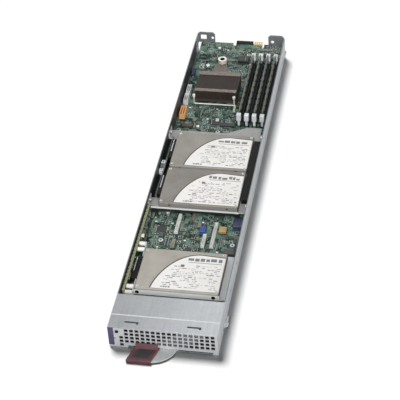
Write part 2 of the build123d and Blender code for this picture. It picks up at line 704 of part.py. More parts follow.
with BuildPart() as lever_pivot:
    HEAD_Z = LEVER_Z[1] + LEVER_HEAD_GAP
    rod_z(PIVOT_X, PIVOT_Y, (SHEET, SHEET + LEVER_WASHER_THICK), LEVER_WASHER)
    rod_z(PIVOT_X, PIVOT_Y, (SHEET, HEAD_Z), LEVER_PIN)
    rod_z(PIVOT_X, PIVOT_Y, (HEAD_Z, HEAD_Z + LEVER_HEAD_THICK), LEVER_HEAD)
save(lever_pivot, "lever_pivot")

# Main board, its standoffs and screws
with BuildPart() as main_board:
    block((-BOARD_X, BOARD_X), (BOARD_Y0, BOARD_Y1), (BOARD_BOTTOM, BOARD_TOP))
    fillet(main_board.edges().filter_by(Axis.Z), BOARD_THICK)
    for screw_x, screw_y in BOARD_SCREWS:
        rod_z(screw_x, screw_y, (BOARD_BOTTOM - CUT, BOARD_TOP + CUT), SCREW_HOLE, Mode.SUBTRACT)
    NOTCH_X = SIGNAL_CENTRE - SIGNAL_WIDTH / 2 - TAIL_NOTCH / 2
    SLOT_X = PAD_CENTRE + PAD_COUNT * PAD_PITCH / 2 + TAIL_SLOT / 2
    block(
        around(NOTCH_X, TAIL_NOTCH), (BOARD_Y1 - TAIL_NOTCH_DEPTH, BOARD_Y1 + CUT),
        (BOARD_BOTTOM - CUT, BOARD_TOP + CUT), Mode.SUBTRACT,
    )
    block(
        around(SLOT_X, TAIL_SLOT), (BOARD_Y1 - TAIL_SLOT_DEPTH, BOARD_Y1 + CUT),
        (BOARD_BOTTOM - CUT, BOARD_TOP + CUT), Mode.SUBTRACT,
    )
save(main_board, "main_board")

with BuildPart() as board_standoffs:
    for screw_x, screw_y in BOARD_SCREWS:
        rod_z(screw_x, screw_y, (SHEET, BOARD_BOTTOM), STANDOFF_RADIUS)
        rod_z(screw_x, screw_y, (BOARD_BOTTOM - STANDOFF_HEIGHT / 2, BOARD_TOP), SCREW_HOLE, Mode.SUBTRACT)
save(board_standoffs, "board_standoffs")

with BuildPart() as board_screws:
    for screw_x, screw_y in BOARD_SCREWS:
        rod_z(screw_x, screw_y, (BOARD_BOTTOM - STANDOFF_HEIGHT / 2 + SEAT, BOARD_TOP), SCREW_RADIUS)
        rod_z(screw_x, screw_y, (BOARD_TOP, BOARD_TOP + SCREW_HEAD_THICK), SCREW_HEAD)
save(board_screws, "board_screws")

# Drive tray over the board, hung on four ears
with BuildPart() as drive_tray:
    block(
        (DRIVE_X0 - PLATE_MARGIN, DRIVE_X1 + PLATE_MARGIN), (TRAY_Y0, TRAY_Y1), (PLATE_Z - SHEET, PLATE_Z)
    )
    block(
        (DRIVE_X0 - LIP_LEFT, DRIVE_X1 + PLATE_MARGIN),
        (TRAY_Y0, TRAY_Y0 + SHEET),
        (PLATE_Z - LIP_DROP, PLATE_Z + LIP_RISE),
    )
    with BuildSketch(Plane.XY.offset(PLATE_Z - SHEET)):
        with BuildLine():
            Polyline(
                (INNER - WING_LEFT, TRAY_Y1),
                (INNER - WING_LEFT + WING_SLOPE, TRAY_Y1 + WING_DEPTH),
                (INNER - WING_WALL, TRAY_Y1 + WING_DEPTH),
                (INNER - WING_WALL, TRAY_Y1),
                close=True,
            )
        make_face()
    extrude(amount=SHEET)
    for ear_y in EAR_YS:
        block((-INNER, INNER), ear_y, (PLATE_Z - SHEET, PLATE_Z))
        for side in (-1, 1):
            block(
                around(side * (INNER - SHEET / 2), SHEET), ear_y, (PLATE_Z - SHEET, PLATE_Z + EAR_FLANGE)
            )
            rod_x(
                around(side * (INNER - SHEET / 2), 4 * SHEET), sum(ear_y) / 2, EAR_SCREW_Z, SCREW_HOLE,
                Mode.SUBTRACT,
            )
save(drive_tray, "drive_tray")

# Front drive bracket: a shelf with flanges, screwed to the right wall
LEFT_FLANGE_X = (DRIVE_X0 - PLUG_END_GAP - BRACKET_LEFT_SHEET, DRIVE_X0 - PLUG_END_GAP)
PLUG_Z = (DRIVE_PLUG_MARGIN, DRIVE_THICK - DRIVE_PLUG_MARGIN)
with BuildPart() as front_drive_bracket:
    block((LEFT_FLANGE_X[0], INNER), (BRACKET_Y0, BRACKET_Y1), (FRONT_PLATE_Z - SHEET, FRONT_PLATE_Z))
    block(
        (LEFT_FLANGE_X[0], DRIVE_X1 + PLATE_MARGIN),
        (BRACKET_Y0, BRACKET_Y0 + SHEET),
        (FRONT_PLATE_Z - SHEET, FRONT_PLATE_Z + BRACKET_FLANGE),
    )
    block(
        (INNER - SHEET, INNER), (BRACKET_Y0, BRACKET_Y1), (FRONT_PLATE_Z - SHEET, FRONT_PLATE_Z + EAR_FLANGE)
    )
    block(
        LEFT_FLANGE_X,
        (BRACKET_Y0 - SPACER_INSET, BRACKET_Y1 + BRACKET_LEFT_REACH),
        (FRONT_PLATE_Z - SHEET, FRONT_PLATE_Z + BRACKET_LEFT_HEIGHT),
    )
    block(
        around(sum(LEFT_FLANGE_X) / 2, 4 * SHEET),
        (
            FRONT_DRIVE_Y + DRIVE_PLUG_START - PLUG_WINDOW_GAP,
            FRONT_DRIVE_Y + DRIVE_PLUG_START + DRIVE_PLUG_LENGTH + PLUG_WINDOW_GAP,
        ),
        (FRONT_PLATE_Z, FRONT_PLATE_Z + BRACKET_LEFT_HEIGHT + CUT),
        Mode.SUBTRACT,
    )
    for hole_x in (DRIVE_X0 + BRACKET_HOLE_LEFT, DRIVE_X1 - BRACKET_HOLE_RIGHT):
        rod_y(
            hole_x, around(BRACKET_Y0, 2 * SHEET + BRACKET_FLANGE_GAP), FRONT_PLATE_Z + BRACKET_FLANGE / 2,
            BRACKET_HOLE, Mode.SUBTRACT,
        )
    for screw_y in BRACKET_SCREW_YS:
        rod_x(
            around(INNER - SHEET / 2, 4 * SHEET), screw_y, BRACKET_SCREW_Z, SCREW_HOLE, Mode.SUBTRACT
        )
save(front_drive_bracket, "front_drive_bracket")

# Screws that hold both to the side walls
with BuildPart() as wall_screws:
    for side, screw_y, screw_z in WALL_SCREWS:
        rod_x(sorted((side * HALF, side * (INNER - SHEET))), screw_y, screw_z, SCREW_RADIUS)
        rod_x(
            sorted((side * (INNER - SHEET), side * (INNER - SHEET - SCREW_HEAD_THICK))), screw_y, screw_z,
            SCREW_HEAD,
        )
save(wall_screws, "wall_screws")

# Black guide between the drives and the right wall
with BuildPart() as drive_side_guide:
    block(
        (DRIVE_X1 + PLATE_MARGIN + GUIDE_GAP, INNER),
        (EAR_YS[0][1] + EAR_GAP, EAR_YS[1][0] - EAR_GAP),
        (PLATE_Z - GUIDE_DROP, PLATE_Z + GUIDE_RISE),
    )
save(drive_side_guide, "drive_side_guide")

# Upright boards along the left wall, with a plug for each drive
UPRIGHT_X = (UPRIGHT_X0, UPRIGHT_X1)
UPRIGHT_Z = (BOARD_TOP, BOARD_TOP + UPRIGHT_TOP)
with BuildPart() as riser_board:
    block(UPRIGHT_X, (HOOD_Y1 + RISER_START, TRAY_Y0 - RISER_END_GAP), UPRIGHT_Z)
save(riser_board, "riser_board")

with BuildPart() as drive_backplane:
    block(
        (BACKPLANE_X0, BACKPLANE_X1),
        (EAR_YS[0][1] + EAR_GAP, EAR_YS[1][0] - EAR_GAP),
        (BOARD_TOP, BOARD_TOP + BACKPLANE_TOP),
    )
save(drive_backplane, "drive_backplane")

DRIVES = [
    ("drive_front", FRONT_DRIVE_Y, FRONT_PLATE_Z, UPRIGHT_X1),
    ("drive_middle", MIDDLE_DRIVE_Y, PLATE_Z, BACKPLANE_X1),
    ("drive_rear", REAR_DRIVE_Y, PLATE_Z, BACKPLANE_X1),
]
with BuildPart() as drive_plugs:
    for drive_name, drive_y, drive_z, plug_x in DRIVES:
        block(
            (plug_x, DRIVE_X0 - PLUG_END_GAP),
            (drive_y + DRIVE_PLUG_START, drive_y + DRIVE_PLUG_START + DRIVE_PLUG_LENGTH),
            (drive_z + PLUG_Z[0], drive_z + PLUG_Z[1]),
        )
save(drive_plugs, "drive_plugs")

with BuildPart() as riser_spacers:
    for pair_y in (BRACKET_Y0 - SPACER_SHIFT, BRACKET_Y1 - SPACER_SHIFT):
        for spacer_y in around(pair_y, SPACER_PAIR):
            rod_x((UPRIGHT_X1, LEFT_FLANGE_X[0]), spacer_y, FRONT_PLATE_Z + SPACER_RISE, SPACER_RADIUS)
save(riser_spacers, "riser_spacers")

# Three drives with a recessed plug end and threaded side holes
for drive_name, drive_y, drive_z, plug_x in DRIVES:
    with BuildPart() as drive:
        block((DRIVE_X0, DRIVE_X1), (drive_y, drive_y + DRIVE_DEPTH), (drive_z, drive_z + DRIVE_THICK))
        fillet(drive.edges().filter_by(Axis.Z), DRIVE_CORNER)
        chamfer(drive.faces().sort_by(Axis.Z)[-1].edges(), DRIVE_CORNER / 4)
        for hole_x in (DRIVE_X0 + DRIVE_SIDE_HOLE_INSET, DRIVE_X1 - DRIVE_SIDE_HOLE_INSET):
            for hole_y in (drive_y, drive_y + DRIVE_DEPTH):
                rod_y(
                    hole_x, around(hole_y, 2 * DRIVE_SIDE_HOLE_DEPTH), drive_z + DRIVE_THICK / 2,
                    DRIVE_SIDE_HOLE, Mode.SUBTRACT,
                )
    save(drive, drive_name)

# Memory: socket, module and two latches at each of four places
DIMM_XS = [INNER - DIMM_WALL - DIMM_PITCH * (DIMM_COUNT - 1 - place) for place in range(DIMM_COUNT)]
DIMM_END = DIMM_LENGTH / 2
PIVOT_OUT = DIMM_END + LATCH_GAP + LATCH_DEPTH / 2
PIVOT_Z = BOARD_TOP + PIVOT_RISE
SLOT_Z = BOARD_TOP + SOCKET_FLOOR
DIMM_Z = SLOT_Z + SEAT
BODY_END = DIMM_END - LATCH_GAP
CHEEK_END = PIVOT_OUT + LATCH_DEPTH / 2
CHEEK_TOP = BOARD_TOP + CHEEK_HEIGHT
CHEEK_INNER = SOCKET_WIDTH - 2 * CHEEK_THICK
LATCH_WIDTH = CHEEK_INNER - 2 * LATCH_SIDE_GAP
HOOK_Z = PIVOT_Z + HOOK_RISE
CHIP_PITCH = (DIMM_LENGTH - 2 * CHIP_END_MARGIN - CHIP_WIDTH) / (CHIP_COUNT - 1)
for place, dimm_x in enumerate(DIMM_XS, start=1):
    with BuildPart() as dimm_socket:
        block(
            around(dimm_x, SOCKET_WIDTH),
            around(MEMORY_Y, 2 * BODY_END),
            (BOARD_TOP, BOARD_TOP + SOCKET_HEIGHT),
        )
        for end in (-1, 1):
            block(
                around(dimm_x, SOCKET_WIDTH),
                around(MEMORY_Y + end * (BODY_END + CHEEK_END) / 2, CHEEK_END - BODY_END + 2 * LATCH_GAP),
                (BOARD_TOP, CHEEK_TOP),
            )
            block(
                around(dimm_x, CHEEK_INNER),
                around(MEMORY_Y + end * (BODY_END + CHEEK_END) / 2, CHEEK_END - BODY_END + 2 * LATCH_GAP),
                (BOARD_TOP, CHEEK_TOP + CUT),
                Mode.SUBTRACT,
            )
            rod_x(
                around(dimm_x, SOCKET_WIDTH + CUT), MEMORY_Y + end * PIVOT_OUT, PIVOT_Z,
                PIVOT_RADIUS + PIVOT_CLEARANCE, Mode.SUBTRACT,
            )
        block(
            around(dimm_x, DIMM_THICK + 2 * SOCKET_SLOT_GAP),
            around(MEMORY_Y, 2 * CHEEK_END),
            (SLOT_Z, CHEEK_TOP + CUT),
            Mode.SUBTRACT,
        )
    save(dimm_socket, f"dimm_socket_{place}")

    with BuildPart() as memory_module:
        block(around(dimm_x, DIMM_THICK), around(MEMORY_Y, DIMM_LENGTH), (DIMM_Z, DIMM_Z + DIMM_HEIGHT))
        for end in (-1, 1):
            rod_x(
                around(dimm_x, DIMM_THICK + CUT), MEMORY_Y + end * DIMM_END, HOOK_Z, NOTCH_RADIUS,
                Mode.SUBTRACT,
            )
        for chip in range(CHIP_COUNT):
            chip_y = MEMORY_Y - DIMM_END + CHIP_END_MARGIN + CHIP_WIDTH / 2 + chip * CHIP_PITCH
            block(
                around(dimm_x, DIMM_THICK + 2 * CHIP_THICK),
                around(chip_y, CHIP_WIDTH),
                (DIMM_Z + CHIP_RISE, DIMM_Z + CHIP_RISE + CHIP_HEIGHT),
            )
    save(memory_module, f"memory_module_{place}")

    for end, end_name in ((-1, "front"), (1, "rear")):
        pivot_y = MEMORY_Y + end * PIVOT_OUT
        head_z = CHEEK_TOP + LATCH_HEAD_GAP
        head_y = sorted((pivot_y - end * LATCH_DEPTH / 2, pivot_y + end * (LATCH_DEPTH / 2 + LATCH_FLARE)))
        with BuildPart() as dimm_latch:
            block(around(dimm_x, LATCH_HEAD_WIDTH), head_y, (head_z, BOARD_TOP + LATCH_TOP))
            fillet(dimm_latch.edges().group_by(Axis.Z)[-1], LATCH_ROUND)
            block(around(dimm_x, LATCH_WIDTH), around(pivot_y, LATCH_DEPTH), (PIVOT_Z, head_z))
            rod_x(around(dimm_x, LATCH_WIDTH), pivot_y, PIVOT_Z, LATCH_DEPTH / 2)
            rod_x(around(dimm_x, SOCKET_WIDTH), pivot_y, PIVOT_Z, PIVOT_RADIUS)
            block(
                around(dimm_x, LATCH_WIDTH),
                sorted((pivot_y, pivot_y - end * (LATCH_DEPTH / 2 + LATCH_GAP + HOOK_REACH))),
                around(HOOK_Z, 2 * HOOK_HALF),
            )
        save(dimm_latch, f"dimm_latch_{end_name}_{place}")

# Processor and its finned cooler
HEATSINK_X1 = DIMM_XS[0] - SOCKET_WIDTH / 2 - HEATSINK_TO_MEMORY
HEATSINK_X0 = -INNER + HEADER_WALL_GAP + BOOT_WIDTH + HEATSINK_TO_HEADER
HEATSINK_WIDTH = HEATSINK_X1 - HEATSINK_X0
HEATSINK_X = (HEATSINK_X0 + HEATSINK_X1) / 2
HEATSINK_Y0 = MEMORY_Y - HEATSINK_DEPTH / 2 - HEATSINK_NOSE
HEATSINK_Y1 = MEMORY_Y + HEATSINK_DEPTH / 2
LID_Z = BOARD_TOP + CPU_THICK
BASE_Z = LID_Z + CPU_LID_THICK
FIN_Z = BASE_Z + HEATSINK_BASE
FIN_TOP = FIN_Z + FIN_HEIGHT
with BuildPart() as processor:
    block(around(HEATSINK_X, CPU_SIZE), around(MEMORY_Y, CPU_SIZE), (BOARD_TOP, LID_Z))
    block(around(HEATSINK_X, CPU_LID), around(MEMORY_Y, CPU_LID), (LID_Z, BASE_Z))
save(processor, "processor")

with BuildPart() as heatsink:
    block((HEATSINK_X0, HEATSINK_X1), (HEATSINK_Y0, HEATSINK_Y1), (BASE_Z, FIN_Z))
    FIN_PITCH = (HEATSINK_WIDTH - FIN_THICK) / (FIN_COUNT - 1)
    with Locations((HEATSINK_X, (HEATSINK_Y0 + HEATSINK_Y1) / 2, FIN_Z + FIN_HEIGHT / 2)):
        with GridLocations(FIN_PITCH, FIN_PITCH, FIN_COUNT, 1):
            Box(FIN_THICK, HEATSINK_Y1 - HEATSINK_Y0, FIN_HEIGHT)
save(heatsink, "heatsink")

with BuildPart() as heatsink_straps:
    for strap_y in ((HEATSINK_Y0, HEATSINK_Y0 + STRAP_FRONT), (HEATSINK_Y1 - STRAP_REAR, HEATSINK_Y1)):
        block((HEATSINK_X0, HEATSINK_X1), strap_y, (FIN_TOP, FIN_TOP + STRAP_THICK))
save(heatsink_straps, "heatsink_straps")

with BuildPart() as heatsink_clip:
    CLIP_Y = HEATSINK_Y0 - CLIP_REACH - CLIP_RADIUS
    CLIP_Z = BOARD_TOP + CLIP_RADIUS
    CLIP_X = (HEATSINK_X0 - CLIP_GAP, HEATSINK_X1 - CLIP_INSET)
    rod_x(CLIP_X, CLIP_Y, CLIP_Z, CLIP_RADIUS)
    block(
        (CLIP_X[1], CLIP_X[1] + CLIP_TAIL_WIDTH), (CLIP_Y - CLIP_TAIL, CLIP_Y),
        (BOARD_TOP, BOARD_TOP + 2 * CLIP_RADIUS),
    )
    for post_x in CLIP_X:
        with Locations((post_x, CLIP_Y, CLIP_Z)):
            Sphere(CLIP_RADIUS)
        rod_z(post_x, CLIP_Y, (CLIP_Z, BOARD_TOP + CLIP_HEIGHT), CLIP_RADIUS)
        rod_z(
            post_x, CLIP_Y, (BOARD_TOP + CLIP_HEIGHT, BOARD_TOP + CLIP_HEIGHT + CLIP_HEAD_LENGTH), CLIP_HEAD
        )
save(heatsink_clip, "heatsink_clip")

# Three-cornered spring arm behind the cooler and the screw that holds it
ARM_X = HEATSINK_X - ARM_SHIFT
ARM_Y = HEATSINK_Y1 + ARM_REACH
with BuildPart() as heatsink_arm:
    with BuildSketch(Plane.XY.offset(BASE_Z)):
        with BuildLine():
            Polyline(
                (ARM_X - ARM_WIDTH / 2, HEATSINK_Y1),
                (ARM_X + ARM_WIDTH / 2, HEATSINK_Y1),
                (ARM_X + ARM_EYE * 0.9, ARM_Y),
                (ARM_X - ARM_EYE * 0.9, ARM_Y),
                close=True,
            )
        make_face()
        with Locations((ARM_X, ARM_Y)):
            Circle(ARM_EYE)
            Circle(ARM_POST + ARM_POST_CLEARANCE, mode=Mode.SUBTRACT)
    extrude(amount=ARM_THICK)
save(heatsink_arm, "heatsink_arm")

with BuildPart() as heatsink_screw:
    CUP_Z = BASE_Z + ARM_THICK
    rod_z(ARM_X, ARM_Y, (CUP_Z, CUP_Z + ARM_CUP_HEIGHT), ARM_EYE)
    rod_z(ARM_X, ARM_Y, (CUP_Z + ARM_CUP_FLOOR, CUP_Z + ARM_CUP_HEIGHT + CUT), ARM_CUP_INNER, Mode.SUBTRACT)
    rod_z(ARM_X, ARM_Y, (BOARD_TOP, CUP_Z + ARM_CUP_FLOOR), ARM_POST)
save(heatsink_screw, "heatsink_screw")


def header(x, y, width, length):
    """An upright cable header: a walled socket with a tongue inside."""
    top = BOARD_TOP + HEADER_HEIGHT
    floor = top - HEADER_CAVITY
    block(around(x, width), around(y, length), (BOARD_TOP, top))
    block(
        around(x, width - 2 * HEADER_WALL), around(y, length - 2 * HEADER_WALL), (floor, top + CUT),
        Mode.SUBTRACT,
    )
    block(around(x, HEADER_TONGUE), around(y, length - 4 * HEADER_WALL), (floor, top - HEADER_WALL))


# Cable headers along the left edge of the board
HEADER_X = -INNER + HEADER_WALL_GAP + HEADER_WIDTH / 2
HEADER_YS = [MEMORY_Y - HEADER_SHIFT]
HEADER_YS += [HEADER_YS[0] - HEADER_LENGTH - HEADER_GAP]
BOOT_Y = HEADER_YS[1] - HEADER_LENGTH / 2 - BOOT_GAP - BOOT_LENGTH / 2
BOOT_X = -INNER + HEADER_WALL_GAP + BOOT_WIDTH / 2
for header_name, header_x, header_y, header_width, header_length in (
    ("data_header_rear", HEADER_X, HEADER_YS[0], HEADER_WIDTH, HEADER_LENGTH),
    ("data_header_front", HEADER_X, HEADER_YS[1], HEADER_WIDTH, HEADER_LENGTH),
    ("boot_header", BOOT_X, BOOT_Y, BOOT_WIDTH, BOOT_LENGTH),
):
    with BuildPart() as cable_header:
        header(header_x, header_y, header_width, header_length)
    save(cable_header, header_name)

# Low connectors and chips in the open front of the board
with BuildPart() as flex_headers:
    for flex_side, flex_inset, flex_shift, flex_length in FLEX_HEADERS:
        flex_x = from_edge(flex_side, flex_inset)
        flex_y = BAY_Y + flex_shift
        flex_top = BOARD_TOP + FLEX_HEIGHT
        block(around(flex_x, FLEX_WIDTH), around(flex_y, flex_length), (BOARD_TOP, flex_top))
        block(
            around(flex_x, FLEX_SLOT), around(flex_y, flex_length - 2 * FLEX_SLOT_END),
            (flex_top - FLEX_SLOT_DEPTH, flex_top + CUT), Mode.SUBTRACT,
        )
save(flex_headers, "flex_headers")

with BuildPart() as jumper_header:
    block(
        around(BOARD_X - BLUE_RIGHT, BLUE_WIDTH), around(BAY_Y + BLUE_SHIFT, BLUE_LENGTH),
        (BOARD_TOP, BOARD_TOP + BLUE_HEIGHT),
    )
save(jumper_header, "jumper_header")

with BuildPart() as side_connector:
    SIDE_MIDDLE = INNER - SIDE_WALL_GAP - SIDE_WIDTH / 2
    block(
        around(SIDE_MIDDLE, SIDE_WIDTH), (TRAY_Y0 - SIDE_END_GAP - SIDE_LENGTH, TRAY_Y0 - SIDE_END_GAP),
        (BOARD_TOP, BOARD_TOP + SIDE_HEIGHT),
    )
save(side_connector, "side_connector")

with BuildPart() as board_chips:
    for chip_side, chip_inset, station, chip_shift, chip_width, chip_length, chip_height in BOARD_CHIPS:
        block(
            around(from_edge(chip_side, chip_inset), chip_width),
            around(STATIONS[station] + chip_shift, chip_length),
            (BOARD_TOP, BOARD_TOP + chip_height),
        )
save(board_chips, "board_chips")

# Connector and power contacts on the board's tail
SIGNAL_X = around(SIGNAL_CENTRE, SIGNAL_WIDTH)
SIGNAL_Y1 = BOARD_Y1 + SIGNAL_OVERHANG
SIGNAL_Z = (BOARD_BOTTOM - SIGNAL_LIP, BOARD_TOP + SIGNAL_LIP)
with BuildPart() as rear_connector:
    block(SIGNAL_X, (BOARD_Y1 + SEAT, SIGNAL_Y1), SIGNAL_Z)
    block(SIGNAL_X, (BOARD_Y1 - SIGNAL_FOOT, SIGNAL_Y1), (BOARD_TOP, SIGNAL_Z[1]))
    block(
        around(SIGNAL_CENTRE, SIGNAL_WIDTH - 2 * SIGNAL_SLOT),
        (SIGNAL_Y1 - SIGNAL_SLOT_DEPTH, SIGNAL_Y1 + CUT),
        around((BOARD_BOTTOM + BOARD_TOP) / 2, SIGNAL_SLOT),
        Mode.SUBTRACT,
    )
save(rear_connector, "rear_connector")

with BuildPart() as power_contacts:
    with Locations((PAD_CENTRE, BOARD_Y1 + PAD_OVERHANG - PAD_LENGTH / 2, BOARD_TOP + PAD_THICK / 2)):
        with GridLocations(PAD_PITCH, PAD_PITCH, PAD_COUNT, 1):
            Box(PAD_WIDTH, PAD_LENGTH, PAD_THICK)
save(power_contacts, "power_contacts")
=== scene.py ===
"""Looks of the blade server: finishes, drive labels, board parts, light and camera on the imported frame."""

import math
import random

import bmesh
import bpy
from mathutils import Matrix, Vector
from mathutils.bvhtree import BVHTree
from mathutils.geometry import interpolate_bezier


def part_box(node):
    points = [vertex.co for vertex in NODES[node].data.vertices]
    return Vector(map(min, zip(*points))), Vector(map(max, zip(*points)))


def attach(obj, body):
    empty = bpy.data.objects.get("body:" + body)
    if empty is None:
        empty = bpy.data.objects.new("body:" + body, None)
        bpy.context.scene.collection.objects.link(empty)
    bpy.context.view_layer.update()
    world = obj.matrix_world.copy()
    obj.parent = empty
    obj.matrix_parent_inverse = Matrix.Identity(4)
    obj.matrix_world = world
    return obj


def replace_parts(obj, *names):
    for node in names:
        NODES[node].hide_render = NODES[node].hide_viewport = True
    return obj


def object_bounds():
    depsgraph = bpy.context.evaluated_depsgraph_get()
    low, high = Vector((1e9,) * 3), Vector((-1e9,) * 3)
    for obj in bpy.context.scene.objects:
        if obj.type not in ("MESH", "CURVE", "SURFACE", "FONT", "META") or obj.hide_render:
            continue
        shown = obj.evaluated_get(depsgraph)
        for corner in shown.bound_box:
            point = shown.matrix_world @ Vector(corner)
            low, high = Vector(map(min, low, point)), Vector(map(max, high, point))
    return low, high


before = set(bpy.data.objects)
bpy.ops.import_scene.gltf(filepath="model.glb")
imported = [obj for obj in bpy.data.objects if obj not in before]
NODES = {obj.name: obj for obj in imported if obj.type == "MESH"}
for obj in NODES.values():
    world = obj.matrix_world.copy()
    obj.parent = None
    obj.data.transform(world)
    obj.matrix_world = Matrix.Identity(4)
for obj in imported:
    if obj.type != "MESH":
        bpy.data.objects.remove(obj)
cad_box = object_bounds()
MM = 0.001
BODY = "sled"
HOOD_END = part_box("front_hood")[1].y


# Colours and finishes
def tone(red, green, blue):
    """A screen colour, 0 to 255, as Blender's linear values."""
    shares = [value / 255 for value in (red, green, blue)]
    return tuple(s / 12.92 if s <= 0.04045 else ((s + 0.055) / 1.055) ** 2.4 for s in shares) + (1.0,)


def shade(colour, factor=1.0, lift=0):
    """A screen colour made darker by a factor or lighter by a lift."""
    return tuple(min(255, factor * value + lift) for value in colour)


class Graph:
    """The nodes of a material or of the world, with short calls that add them."""

    def __init__(self, made, shader):
        made.use_nodes = True
        self.made = made
        self.tree = made.node_tree
        self.shader = self.tree.nodes[shader]

    def feed(self, socket, value):
        """Give a socket a value, or what another node works out."""
        if isinstance(value, bpy.types.NodeSocket):
            self.tree.links.new(value, socket)
        else:
            socket.default_value = value

    def set(self, name, value):
        """Feed the shader's socket of that name."""
        self.feed(self.shader.inputs[name], value)

    def add(self, kind, inputs=(), **settings):
        """A new shader node of a kind, with its inputs fed and its settings made."""
        made = self.tree.nodes.new(f"ShaderNode{kind}")
        for key, value in settings.items():
            setattr(made, key, value)
        for key, value in inputs:
            self.feed(made.inputs[key], value)
        return made

    def spread(self, value, low, high, to_low=0.0, to_high=1.0):
        """Map a value's span to another span, held at the ends."""
        inputs = [(0, value), (1, low), (2, high), (3, to_low), (4, to_high)]
        return self.add("MapRange", inputs).outputs[0]

    def seen(self):
        """1 for rays that show the backdrop itself, 0 for light that it sheds."""
        path = self.add("LightPath").outputs
        total = path["Is Camera Ray"]
        for ray in ("Is Glossy Ray", "Is Transmission Ray"):
            inputs = [(0, total), (1, path[ray])]
            total = self.add("Math", inputs, operation="ADD", use_clamp=True).outputs[0]
        return total


class Finish(Graph):
    """One procedural material."""

    def __init__(self, name, roughness=0.5, metallic=0.0):
        super().__init__(bpy.data.materials.new(name), "Principled BSDF")
        self.set("Roughness", roughness)
        self.set("Metallic", metallic)
        self.place = self.add("TexCoord").outputs["Object"]

    def stretched(self, x, y, z):
        """The object's own coordinates, scaled along each axis."""
        return self.add("Mapping", [("Vector", self.place), ("Scale", (x, y, z))]).outputs[0]

    def noise(self, size_mm, detail=3.0, place=None):
        """Soft noise whose lumps are about that many millimetres across."""
        inputs = [("Vector", place or self.place), ("Scale", 1 / (size_mm * MM)), ("Detail", detail)]
        return self.add("TexNoise", inputs).outputs[0]

    def cells(self, size_mm, output="Color", **settings):
        """Cells about that many millimetres across."""
        inputs = [("Vector", self.place), ("Scale", 1 / (size_mm * MM))]
        return self.add("TexVoronoi", inputs, **settings).outputs[output]

    def math(self, operation, a, b=0.0):
        return self.add("Math", [(0, a), (1, b)], operation=operation).outputs[0]

    def times(self, a, b):
        return self.math("MULTIPLY", a, b)

    def over(self, value, limit):
        """1 where a value is over a limit, else 0."""
        return self.math("GREATER_THAN", value, limit)

    def under(self, value, limit):
        """1 where a value is under a limit, else 0."""
        return self.math("LESS_THAN", value, limit)

    def mix(self, share, a, b, blend="MIX"):
        """Colour b over colour a by a share. Three numbers are a screen colour."""
        a, b = (tone(*c) if isinstance(c, tuple) and len(c) == 3 else c for c in (a, b))
        inputs = [(0, share), (6, a), (7, b)]
        return self.add("Mix", inputs, data_type="RGBA", blend_type=blend).outputs[2]

    def part(self, socket, axis):
        """One axis of a vector, or one channel of a colour."""
        return self.add("SeparateXYZ", [(0, socket)]).outputs["XYZ".index(axis)]

    def along(self, axis):
        """The place along one axis."""
        return self.part(self.place, axis)

    def away(self, axis, middle):
        """The distance along one axis from a middle."""
        return self.math("ABSOLUTE", self.math("SUBTRACT", self.along(axis), middle))

    def stripes(self, axis, pitch_mm, share):
        """1 on stripes of that pitch along one axis, else 0."""
        saw = self.math("FRACT", self.times(self.along(axis), 1 / (pitch_mm * MM)))
        return self.under(saw, share)

    def facing(self, axis):
        """How far a face looks along one axis, from -1 to 1."""
        return self.part(self.add("NewGeometry").outputs["Normal"], axis)

    def flank(self, axis):
        """1 on faces that look across an axis, else 0."""
        return self.under(self.math("ABSOLUTE", self.facing(axis)), 0.5)

    def edges(self, radius_mm):
        """A rounded edge's normal, and how far it turns from the face: 0 on the flat, up to 1 on an edge."""
        bevel = self.add("Bevel", [("Radius", radius_mm * MM)], samples=4).outputs[0]
        flat = self.add("NewGeometry").outputs["Normal"]
        normals = [(0, bevel), (1, flat)]
        dot = self.add("VectorMath", normals, operation="DOT_PRODUCT").outputs["Value"]
        return bevel, self.spread(dot, 0.99, 0.8)

    def relief(self, height, depth_mm, strength=1.0, normal=None):
        """Bump of about that depth, over an edge's normal where one is given."""
        inputs = [("Height", height), ("Strength", strength), ("Distance", depth_mm * MM)]
        inputs += [("Normal", normal)] if normal else []
        self.set("Normal", self.add("Bump", inputs).outputs[0])

    def rough(self, value, low, high):
        self.set("Roughness", self.spread(value, 0.3, 0.7, low, high))

    def colour(self, socket):
        self.set("Base Color", socket)


PAINTED_SHEEN_HALF = 50.0 * MM
NOSE_INSIDE = (("X", 62.4 * MM, 0.0), ("Z", 14.5 * MM, 15.0 * MM))
NOSE_SHADE = 0.24


